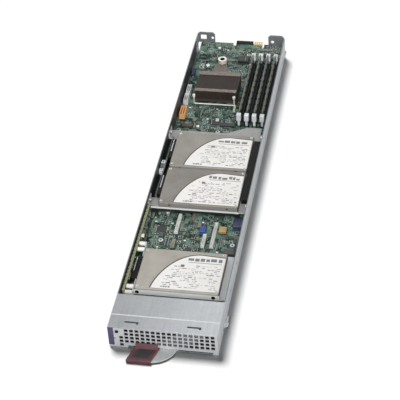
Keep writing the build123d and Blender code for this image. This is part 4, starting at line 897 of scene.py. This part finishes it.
# Painted shade: flat black six-lobed marks on the board and wall screws' heads stand for their recesses.
recesses = Build(black_plastic)
for x, y, z in islands("board_screws"):
    outline = [(halfway(x) + u, halfway(y) + v) for u, v in star((x[1] - x[0]) / 2)]
    recesses.plate(outline, span(z[1], 2 * RECESS_RISE))
for x, y, z in islands("wall_screws"):
    side = 1 if halfway(x) > 0 else -1
    face = x[1] if side > 0 else x[0]
    outline = [(halfway(y) + u, halfway(z) + v) for u, v in star((y[1] - y[0]) / 2)[::side]]
    recesses.beam(outline, span(face, 2 * RECESS_RISE)[::side])
recesses.done("screw_recesses")

cup_low, cup_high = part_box("heatsink_screw")
cup_spot = (halfway((cup_low.x, cup_high.x)), halfway((cup_low.y, cup_high.y)))
cup_floor = cup_high.z - CUP_DEPTH
cup_seat = cup_floor + 0.1 * MM
cup_lip = cup_high.z - 0.3 * MM
cup_profile = [(CUP_OUTSIDE, cup_floor), (CUP_OUTSIDE, cup_lip)]
cup_profile += [(CUP_INSIDE, cup_lip), (CUP_INSIDE, cup_seat)]
# Painted shade: a black lining inside the cup, round a screw at its floor.
cup_shade = Build(black_plastic)
cup_shade.turned(*cup_spot, cup_profile, count=24)
star_screw(cup_shade, *cup_spot, cup_seat, 1.9 * MM, 0.9 * MM, screw_steel)
cup_shade.done("heatsink_screw.socket")


# White caps on the two posts of the cooler's wire clip
CAP_RADIUS = 2.1 * MM
CAP_RISE = 0.4 * MM
CAP_LENGTH = 3.0 * MM
clip_low, clip_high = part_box("heatsink_clip")
clip_middle = (clip_low.x + clip_high.x) / 2
post_tops = [v.co for v in NODES["heatsink_clip"].data.vertices if v.co.z > clip_high.z - 0.1 * MM]
cap_top = clip_high.z + CAP_RISE
cap_profile = [(CAP_RADIUS, cap_top - CAP_LENGTH), (CAP_RADIUS, clip_high.z), (0.7 * CAP_RADIUS, cap_top)]
caps = Build(nylon)
for side in (-1, 1):
    post = [corner for corner in post_tops if side * (corner.x - clip_middle) > 0]
    spot = [halfway((min(places), max(places))) for places in zip(*(corner.xy for corner in post))]
    caps.turned(*spot, cap_profile)
caps.done("clip_caps")


# Small board parts, placed by a seeded draw on the free board
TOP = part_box("main_board")[1].z
MARK_Z = (TOP, TOP + 0.03 * MM)
MARK_LINE = 0.28 * MM
ON_BOARD = (
    "board_screws processor heatsink riser_board drive_backplane riser_spacers data_header_rear "
    "data_header_front boot_header flex_headers jumper_header side_connector board_chips rear_connector "
    "power_contacts heatsink_screw dimm_socket_1 dimm_socket_2 dimm_socket_3 dimm_socket_4"
).split()
EDGE_KEEP = 1.5 * MM
WIRE_KEEP = 4.0 * MM
CHIP_SLIM = 0.04 * MM
PASSIVE_SIZES = ((1.6, 0.8, 0.7), (2.0, 1.25, 0.9), (3.2, 1.6, 1.2), (4.5, 2.2, 1.5))
PASSIVE_FINISHES = (ceramic_tan, ceramic_grey, ferrite, ferrite, resin_black, resin_black)


def clear_of(taken, across, along, gap):
    """Whether a room keeps a gap from every room that is taken."""
    for other_across, other_along in taken:
        apart = across[0] - gap > other_across[1] or across[1] + gap < other_across[0]
        beyond = along[0] - gap > other_along[1] or along[1] + gap < other_along[0]
        if not (apart or beyond):
            return False
    return True


class Layout:
    """Which parts of the board are taken."""

    def __init__(self):
        self.taken = [box[:2] for node in ON_BOARD for box in islands(node)]
        board = NODES["main_board"].data
        corners = [vertex.co for vertex in board.vertices]
        self.board = BVHTree.FromPolygons(corners, [list(face.vertices) for face in board.polygons])

    def carried(self, x, y):
        """Whether the board lies under all four corners of a room, with an edge to spare."""
        for corner_x in (x[0] - EDGE_KEEP, x[1] + EDGE_KEEP):
            for corner_y in (y[0] - EDGE_KEEP, y[1] + EDGE_KEEP):
                above = Vector((corner_x, corner_y, TOP + 1.0 * MM))
                if self.board.ray_cast(above, Vector((0, 0, -1)), 2.0 * MM)[0] is None:
                    return False
        return True

    def take(self, x, y):
        self.taken.append((x, y))

    def claim(self, x, y, wide, deep, gap):
        """Take a room of that size round a place and give it back, or give None where it isn't free."""
        room = span(x, wide), span(y, deep)
        if self.carried(*room) and clear_of(self.taken, *room, gap):
            self.take(*room)
            return room
        return None


layout = Layout()
layout.take((clip_low.x, clip_high.x), (clip_high.y - WIRE_KEEP, clip_high.y))
layout.take((clip_high.x - WIRE_KEEP, clip_high.x), (clip_low.y, clip_high.y))
parts = Build(resin_black)
marks = Build(screen_ink)
draw = random.Random(11)


def frame_mark(x, y):
    """A printed outline round a part."""
    for line_y in both_ends(y, MARK_LINE):
        marks.block(x, line_y, MARK_Z)
    for line_x in both_ends(x, MARK_LINE):
        marks.block(line_x, y, MARK_Z)


def passive(x, y, length, width, height, along_x, finish):
    """A chip capacitor or resistor: a body between two tinned ends."""
    whole = span(0.0, length)
    cap = 0.24 * length
    first, last = both_ends(whole, cap)
    body = shrunk(whole, cap)
    for along, kind, slim in ((first, solder, 0.0), (body, finish, CHIP_SLIM), (last, solder, 0.0)):
        across = shrunk(span(0.0, width), slim)
        u, v = (along, across) if along_x else (across, along)
        parts.block((x + u[0], x + u[1]), (y + v[0], y + v[1]), (TOP, TOP + height - slim), kind)


def place_row(x, y):
    count = draw.randint(2, 8)
    length, width, height = draw.choice(PASSIVE_SIZES)
    pitch = (width + 0.6) * MM
    along_x = draw.random() < 0.5
    finish = draw.choice(PASSIVE_FINISHES)
    reach = (length * MM, count * pitch)
    if not along_x:
        reach = reach[::-1]
    if not layout.claim(x, y, *reach, 0.35 * MM):
        return
    for step in range(count):
        shift = (step - (count - 1) / 2) * pitch
        spot = (x, y + shift) if along_x else (x + shift, y)
        passive(*spot, length * MM, width * MM, height * MM, along_x, finish)
    if draw.random() < 0.35:
        frame_mark(span(x, reach[0] + 0.6 * MM), span(y, reach[1] + 0.3 * MM))


def place_chip(x, y):
    wide = draw.choice((3.0, 4.0, 5.0, 6.0)) * MM
    deep = draw.choice((3.0, 4.0, 5.0)) * MM
    room = layout.claim(x, y, wide, deep, 0.6 * MM)
    if room:
        flat_pack(parts, *room, (TOP, TOP + draw.uniform(0.8, 1.3) * MM), 0.8 * MM)
        frame_mark(span(x, wide + 0.9 * MM), span(y, deep + 0.9 * MM))


def place_can(x, y):
    radius = draw.choice((2.0, 2.5, 3.15)) * MM
    room = layout.claim(x, y, 2 * radius, 2 * radius, 0.5 * MM)
    if not room:
        return
    lid = TOP + draw.uniform(1.3, 1.9) * radius
    foot = [shrunk(side, 0.05 * MM) for side in room]
    parts.block(*foot, (TOP, TOP + 0.7 * MM), black_plastic, 0.1 * MM)
    profile = [(0.92, TOP + 0.6 * MM), (0.96, TOP + 1.0 * MM), (0.96, lid - 0.4 * MM)]
    profile += [(0.86, lid), (0.6, lid - 0.1 * MM)]
    parts.turned(x, y, [(share * radius, z) for share, z in profile], bright_tin, 20)


def place_choke(x, y):
    size = draw.choice((4.5, 5.5, 6.5)) * MM
    room = layout.claim(x, y, size, size, 0.5 * MM)
    if room:
        wound_core(parts, *room, (TOP, TOP + 3.0 * MM), ferrite)


def place_crystal(x, y):
    room = layout.claim(x, y, 3.2 * MM, 2.5 * MM, 0.4 * MM)
    if room:
        parts.block(*room, (TOP, TOP + 0.3 * MM), ceramic_tan)
        can = [shrunk(side, 0.25 * MM) for side in room]
        parts.block(*can, (TOP + 0.3 * MM, TOP + 0.9 * MM), bright_tin, 0.2 * MM)


def place_pad(x, y):
    radius = draw.choice((0.45, 0.6, 0.8)) * MM
    if layout.claim(x, y, 2 * radius, 2 * radius, 0.2 * MM):
        profile = [(radius, TOP), (radius * 0.9, TOP + 0.06 * MM)]
        parts.turned(x, y, profile, draw.choice((solder, gilt)), 12)


def place_dash(x, y):
    wide, deep = draw.choice(((2.4, 0.5), (1.6, 0.5), (0.5, 1.8), (3.4, 0.6)))
    room = layout.claim(x, y, wide * MM, deep * MM, 0.2 * MM)
    if room:
        marks.block(*room, MARK_Z)


def stand(x, y, wide, deep, tall, finish):
    """A moulded part at a known place: plinth, chamfered body, tinned feet."""
    x, y, wide, deep, tall = (value * MM for value in (x, y, wide, deep, tall))
    room = span(x, wide), span(y, deep)
    layout.take(*room)
    parts.block(*room, (TOP, TOP + 0.3 * tall), black_plastic, 0.15 * MM)
    body = [shrunk(side, 0.3 * MM) for side in room]
    parts.block(*body, (TOP + 0.2 * tall, TOP + tall), finish, 0.4 * MM)
    for foot in room[1]:
        parts.block(span(x, 0.5 * wide), span(foot, 0.5 * MM), (TOP, TOP + 0.3 * MM), bright_tin)


stand(-7.0, 126.0, 5.0, 5.0, 3.5, white_plastic)
stand(-45.6, 109.5, 14.0, 6.0, 4.5, choke_brown)
stand(8.5, 117.0, 21.0, 7.0, 3.0, resin_black)
stand(-58.2, 231.0, 4.6, 13.0, 5.5, navy)

# A tinned ring round a hole in the board; the hole's black disc is painted shade.
EYELET = (-49.7 * MM, 250.5 * MM)
EYELET_ROOM = 9.0 * MM
EYELET_RIM = [(4.2, 0.0), (4.1, 0.12), (2.7, 0.12), (2.6, 0.04)]
EYELET_HOLE = [(2.6, 0.02), (2.6, 0.06)]
layout.take(*(span(middle, EYELET_ROOM) for middle in EYELET))
for profile, finish in ((EYELET_RIM, bright_tin), (EYELET_HOLE, black_plastic)):
    parts.turned(*EYELET, [(radius * MM, TOP + rise * MM) for radius, rise in profile], finish, 24)

OPEN_BOARD = [
    ((-60.0, 60.0), (-153.0, -70.0), 1.0),
    ((-60.0, 60.0), (86.0, 122.0), 0.9),
    ((-52.0, 21.0), (118.0, 262.0), 0.8),
    ((-60.0, 60.0), (258.0, 309.0), 0.6),
]
KINDS = [
    (place_choke, 0.0003), (place_can, 0.00016), (place_chip, 0.0025), (place_crystal, 0.0004),
    (place_row, 0.012), (place_pad, 0.006), (place_dash, 0.005),
]
for place_one, per_square in KINDS:
    for zone_x, zone_y, crowd in OPEN_BOARD:
        tries = int(crowd * per_square * 4 * (zone_x[1] - zone_x[0]) * (zone_y[1] - zone_y[0]))
        for _ in range(tries):
            place_one(draw.uniform(*zone_x) * MM, draw.uniform(*zone_y) * MM)
parts.done("board_parts")
marks.done("board_marks")


# Riser board: parts on its inner face, a ribbed rail behind its top and a small plug
RISER_TRIES = 500
RISER_FINISHES = (resin_black, ceramic_grey, ceramic_grey, ceramic_tan)
RISER_WIDTHS = (1.6, 2.0, 3.2, 5.0, 7.0)
RISER_HEIGHTS = (0.8, 1.25, 1.6, 3.0)
RISER_DEPTHS = (0.6, 1.4)
RISER_GAP = 0.5 * MM
END_KEEP = 5.0 * MM
FOOT_KEEP = 4.0 * MM
TOP_KEEP = 2.0 * MM
RAIL_THICK = 1.4 * MM
RAIL_DROP = 5.0 * MM
RAIL_RISE = 1.6 * MM
RAIL_INSET = 1.0 * MM
RAIL_RIBS = 24
RAIL_RIB_LENGTH = 1.5 * MM
RAIL_RIB_SINK = 0.2 * MM
RAIL_RIB_RISE = 0.3 * MM
RISER_PLUG_PAST = (6.5 * MM, 11.0 * MM)
RISER_PLUG_DROPS = (4.0 * MM, 0.5 * MM)
RISER_PLUG_DEPTH = 3.4 * MM
RISER_PLUG_SEAT = 3.0 * MM
RISER_SEAT_SPREAD = 0.6 * MM
riser_low, riser_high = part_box("riser_board")
riser_y = (riser_low.y, riser_high.y)
riser_taken = [
    box[1:] for node in ("riser_spacers", "drive_plugs", "front_drive_bracket") for box in islands(node)
]
riser_draw = random.Random(5)
riser_parts = Build(resin_black)
for _ in range(RISER_TRIES):
    wide = riser_draw.choice(RISER_WIDTHS) * MM
    tall = riser_draw.choice(RISER_HEIGHTS) * MM
    along = span(riser_draw.uniform(*shrunk(riser_y, END_KEEP)), wide)
    up = span(riser_draw.uniform(riser_low.z + FOOT_KEEP, riser_high.z - TOP_KEEP), tall)
    if not clear_of(riser_taken, along, up, RISER_GAP):
        continue
    riser_taken.append((along, up))
    depth = (riser_high.x, riser_high.x + riser_draw.uniform(*RISER_DEPTHS) * MM)
    cap = 0.25 * wide
    riser_parts.block(depth, shrunk(along, cap), shrunk(up, CHIP_SLIM), riser_draw.choice(RISER_FINISHES))
    for end in both_ends(along, cap):
        riser_parts.block(depth, end, up, solder)
rail_x = (riser_low.x - RAIL_THICK, riser_low.x)
rail_z = (riser_high.z - RAIL_DROP, riser_high.z + RAIL_RISE)
riser_parts.block(rail_x, shrunk(riser_y, RAIL_INSET), rail_z, rail_olive, 0.3 * MM)
rib_x = shrunk(rail_x, RAIL_RIB_SINK)
rib_z = (rail_z[1] - RAIL_RIB_SINK, rail_z[1] + RAIL_RIB_RISE)
for step in range(RAIL_RIBS):
    rib = span(riser_y[0] + (step + 0.5) / RAIL_RIBS * (riser_y[1] - riser_y[0]), RAIL_RIB_LENGTH)
    riser_parts.block(rib_x, rib, rib_z, resin_black, 0.1 * MM)
spacer_end = max(box[1] for box in islands("riser_spacers"))[1]
plug_y = [spacer_end + past for past in RISER_PLUG_PAST]
plug_z = [riser_high.z - drop for drop in RISER_PLUG_DROPS]
riser_parts.block((riser_high.x, riser_high.x + RISER_PLUG_DEPTH), plug_y, plug_z, nylon, 0.5 * MM)
seat_x = (riser_high.x, riser_high.x + RISER_PLUG_SEAT)
seat_y = shrunk(plug_y, -RISER_SEAT_SPREAD)
riser_parts.block(seat_x, seat_y, span(plug_z[0], RISER_PLUG_SEAT), resin_black, 0.3 * MM)
riser_parts.done("riser_parts")


# A black sheet with studs on the left wall's inner face, standing in for the shade there
FILM_THICK = 0.15 * MM
FILM_STUDS = 7
STUD_INSET = 3.0 * MM
STUD_PROFILE = [(1.6, 0.1), (1.6, 0.3), (1.1, 0.45)]
wall_low, wall_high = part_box("chassis_tray")
wall_face = wall_low.x + 1.0 * MM
film_y = (HOOD_END, wall_high.y - 16.0 * MM)
film_z = (TOP + 1.0 * MM, wall_high.z - 0.6 * MM)
# Painted shade: the black sheet darkens the left wall's inner face.
film = Build(film_black)
film.block((wall_face, wall_face + FILM_THICK), film_y, film_z)
for step in range(FILM_STUDS):
    stud_y = film_y[0] + (step + 0.5) / FILM_STUDS * (film_y[1] - film_y[0])
    for stud_z in shrunk(film_z, STUD_INSET):
        rings = [
            circle(stud_y, stud_z, wall_face + rise * MM, radius * MM, 12) for radius, rise in STUD_PROFILE
        ]
        film.stack([[(x, y, z) for y, z, x in ring] for ring in rings])
film.done("wall_film")


# A rolled hem along the flange's rear edge, in paler sheet as a painted highlight, and black sheets in its
# lanced slits as painted shade
HEM_WIDTH = 1.7 * MM
HEM_RISE = 0.3 * MM
HEM_STEPS = 6
SLIT_SHADE_DROP = 0.45 * MM
SLIT_INSET = 3.0 * MM
flange_low, flange_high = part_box("panel_flange")
hem_middle = flange_high.y - HEM_WIDTH / 2
hem_profile = []
for step in range(HEM_STEPS + 1):
    turn = math.pi * step / HEM_STEPS
    hem_y = hem_middle + HEM_WIDTH / 2 * math.cos(turn)
    hem_profile.append((hem_y, flange_high.z + HEM_RISE * math.sin(turn)))
hem = Build(bright_sheet)
hem.beam(hem_profile, shrunk((flange_low.x, flange_high.x), 0.6 * MM))
hem.done("flange_hem")

slit_reach = flange_high.x - SLIT_INSET
slit_y = shrunk((flange_low.y, flange_high.y), SLIT_INSET)
flange_corners = [vertex.co for vertex in NODES["panel_flange"].data.vertices]
slits = [c for c in flange_corners if abs(c.x) < slit_reach and slit_y[0] < c.y < slit_y[1]]
# Painted shade: black sheets fill the slits, where the sheet below would show.
slit_shade = Build(film_black)
for side in (-1, 1):
    slit = [c for c in slits if side * c.x > 0]
    left, leg, right = sorted({round(c.x, 5) for c in slit})
    front, step, back = sorted({round(c.y, 5) for c in slit})
    outline = [(left, step), (leg, step), (leg, front), (right, front), (right, back), (left, back)]
    slit_shade.plate(outline, (flange_low.z + 0.1 * MM, flange_high.z - SLIT_SHADE_DROP))
slit_shade.done("lance_foam")


# Black sheet under the drive tray, with a skirt at its front, standing in for the shade under the tray's
# front edge
TRAY_SHADE_THICK = 0.2 * MM
TRAY_SHADE_DEPTH = 40.0 * MM
TRAY_SKIRT = 4.0 * MM
tray_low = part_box("drive_tray")[0]
over_low, over_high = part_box("drive_middle")
skirt_y = tray_low.y + 0.4 * MM
skirt_back = skirt_y + TRAY_SHADE_THICK
skirt_end = tray_low.z - TRAY_SKIRT
shade_back = skirt_y + TRAY_SHADE_DEPTH
shade_under = tray_low.z - TRAY_SHADE_THICK
# Painted shade: a black sheet and skirt under the tray's front edge.
tray_film = Build(film_black)
tray_film.beam([
    (skirt_y, skirt_end), (skirt_back, skirt_end), (skirt_back, shade_under),
    (shade_back, shade_under), (shade_back, tray_low.z), (skirt_y, tray_low.z),
], (over_low.x - 9.5 * MM, over_high.x + 0.8 * MM))
tray_film.done("tray_film")


# Three small plugs on the drive backplane
PLUGS = ((15.7 * MM, white_plastic), (8.4 * MM, ceramic_grey), (-0.8 * MM, white_plastic))
PLUG_X = (-61.2 * MM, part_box("drive_backplane")[0].x)
PLUG_Z = (15.5 * MM, 22.0 * MM)
PLUG_LENGTH = 5.6 * MM
SEAT_X = (PLUG_X[0] + 1.0 * MM, PLUG_X[1])
SEAT_Z = (PLUG_Z[0] - 0.6 * MM, PLUG_Z[0] + 3.0 * MM)
SEAT_LENGTH = 6.6 * MM
HOLE_X = span(halfway(PLUG_X), 1.2 * MM)
HOLE_LENGTH = 0.8 * MM
HOLE_PITCH = 1.5 * MM
plugs = Build(white_plastic)
for middle, plastic in PLUGS:
    plugs.block(PLUG_X, span(middle, PLUG_LENGTH), PLUG_Z, plastic, 0.4 * MM)
    plugs.block(SEAT_X, span(middle, SEAT_LENGTH), SEAT_Z, plastic, 0.3 * MM)
    # Painted shade: black boxes in the plug tops stand for the shade in their pin holes.
    for step in (-1, 0, 1):
        hole = span(middle + step * HOLE_PITCH, HOLE_LENGTH)
        plugs.block(HOLE_X, hole, socket_z(PLUG_Z[1]), black_plastic)
plugs.done("backplane_plugs")


# Light, floor and camera
AMBIENT = 0.12
sky = Graph(bpy.data.worlds.new("studio"), "Background")
bpy.context.scene.world = sky.made
sky.set("Color", (1.0, 1.0, 1.0, 1.0))
sky.set("Strength", sky.spread(sky.seen(), 0.0, 1.0, AMBIENT, 1.0))

FLOOR_SIDE = 8.0
FLOOR_GAP = 0.2 * MM
floor_mesh = bpy.data.meshes.new("floor")
floor_corners = rectangle(span(0.0, FLOOR_SIDE), span(0.0, FLOOR_SIDE), cad_box[0].z - FLOOR_GAP)
floor_mesh.from_pydata(floor_corners, [], [(0, 1, 2, 3)])
floor = add_object("floor", floor_mesh)
pale = Finish("floor_paint", roughness=0.9)
shown = pale.mix(pale.noise(40.0, 4.0), (0.66, 0.66, 0.66, 1.0), (0.68, 0.68, 0.68, 1.0))
pale.colour(pale.mix(pale.seen(), (0.3, 0.3, 0.3, 1.0), shown))
pale.set("Specular IOR Level", 0.0)
pale.set("Emission Color", (1.0, 1.0, 1.0, 1.0))
pale.set("Emission Strength", pale.times(pale.seen(), 0.01))
floor_mesh.materials.append(pale.made)


def shine(name, towards, strength, angle, floor_state):
    """A soft distant lamp along a direction, for all but the floor or for the floor alone."""
    lamp = bpy.data.lights.new(name, "SUN")
    lamp.energy = strength
    lamp.angle = math.radians(angle)
    holder = add_object(name, lamp)
    holder.rotation_mode = "QUATERNION"
    holder.rotation_quaternion = Vector(towards).to_track_quat("-Z", "Y")
    receivers = bpy.data.collections.new(f"{name}_receivers")
    receivers.objects.link(floor)
    receivers.collection_objects[0].light_linking.link_state = floor_state
    holder.light_linking.receiver_collection = receivers


shine("key", (-0.20, 0.72, -0.66), 2.8, 35, "EXCLUDE")
shine("side", (-0.97, 0.12, -0.20), 1.55, 40, "EXCLUDE")
shine("rear", (0.50, -0.60, -0.60), 0.7, 40, "EXCLUDE")
shine("dome", (0.0, 0.0, -1.0), 0.35, 140, "EXCLUDE")
shine("floor_lamp", (0.32, -0.42, -1.0), 4.9, 22, "INCLUDE")

TARGET = Vector((-4.257, -30.188, 0.0)) * MM
AZIMUTH = math.radians(12.37)
ELEVATION = math.radians(40.141)
ROLL = math.radians(-3.93)
DISTANCE = 1.83753
FOCAL_PIXELS = 1448.064
FRAME_PIXELS = 400
SENSOR = 36.0
lens = bpy.data.cameras.new("camera")
lens.sensor_width = SENSOR
lens.lens = SENSOR * FOCAL_PIXELS / FRAME_PIXELS
lens.clip_end = 100.0
camera = add_object("camera", lens)
turned = Matrix.Rotation(AZIMUTH, 4, "Z") @ Matrix.Rotation(math.pi / 2 - ELEVATION, 4, "X")
turned = turned @ Matrix.Rotation(ROLL, 4, "Z")
camera.matrix_world = Matrix.Translation(TARGET) @ turned @ Matrix.Translation((0, 0, DISTANCE))
bpy.context.scene.camera = camera
bpy.context.scene.view_settings.view_transform = "Standard"
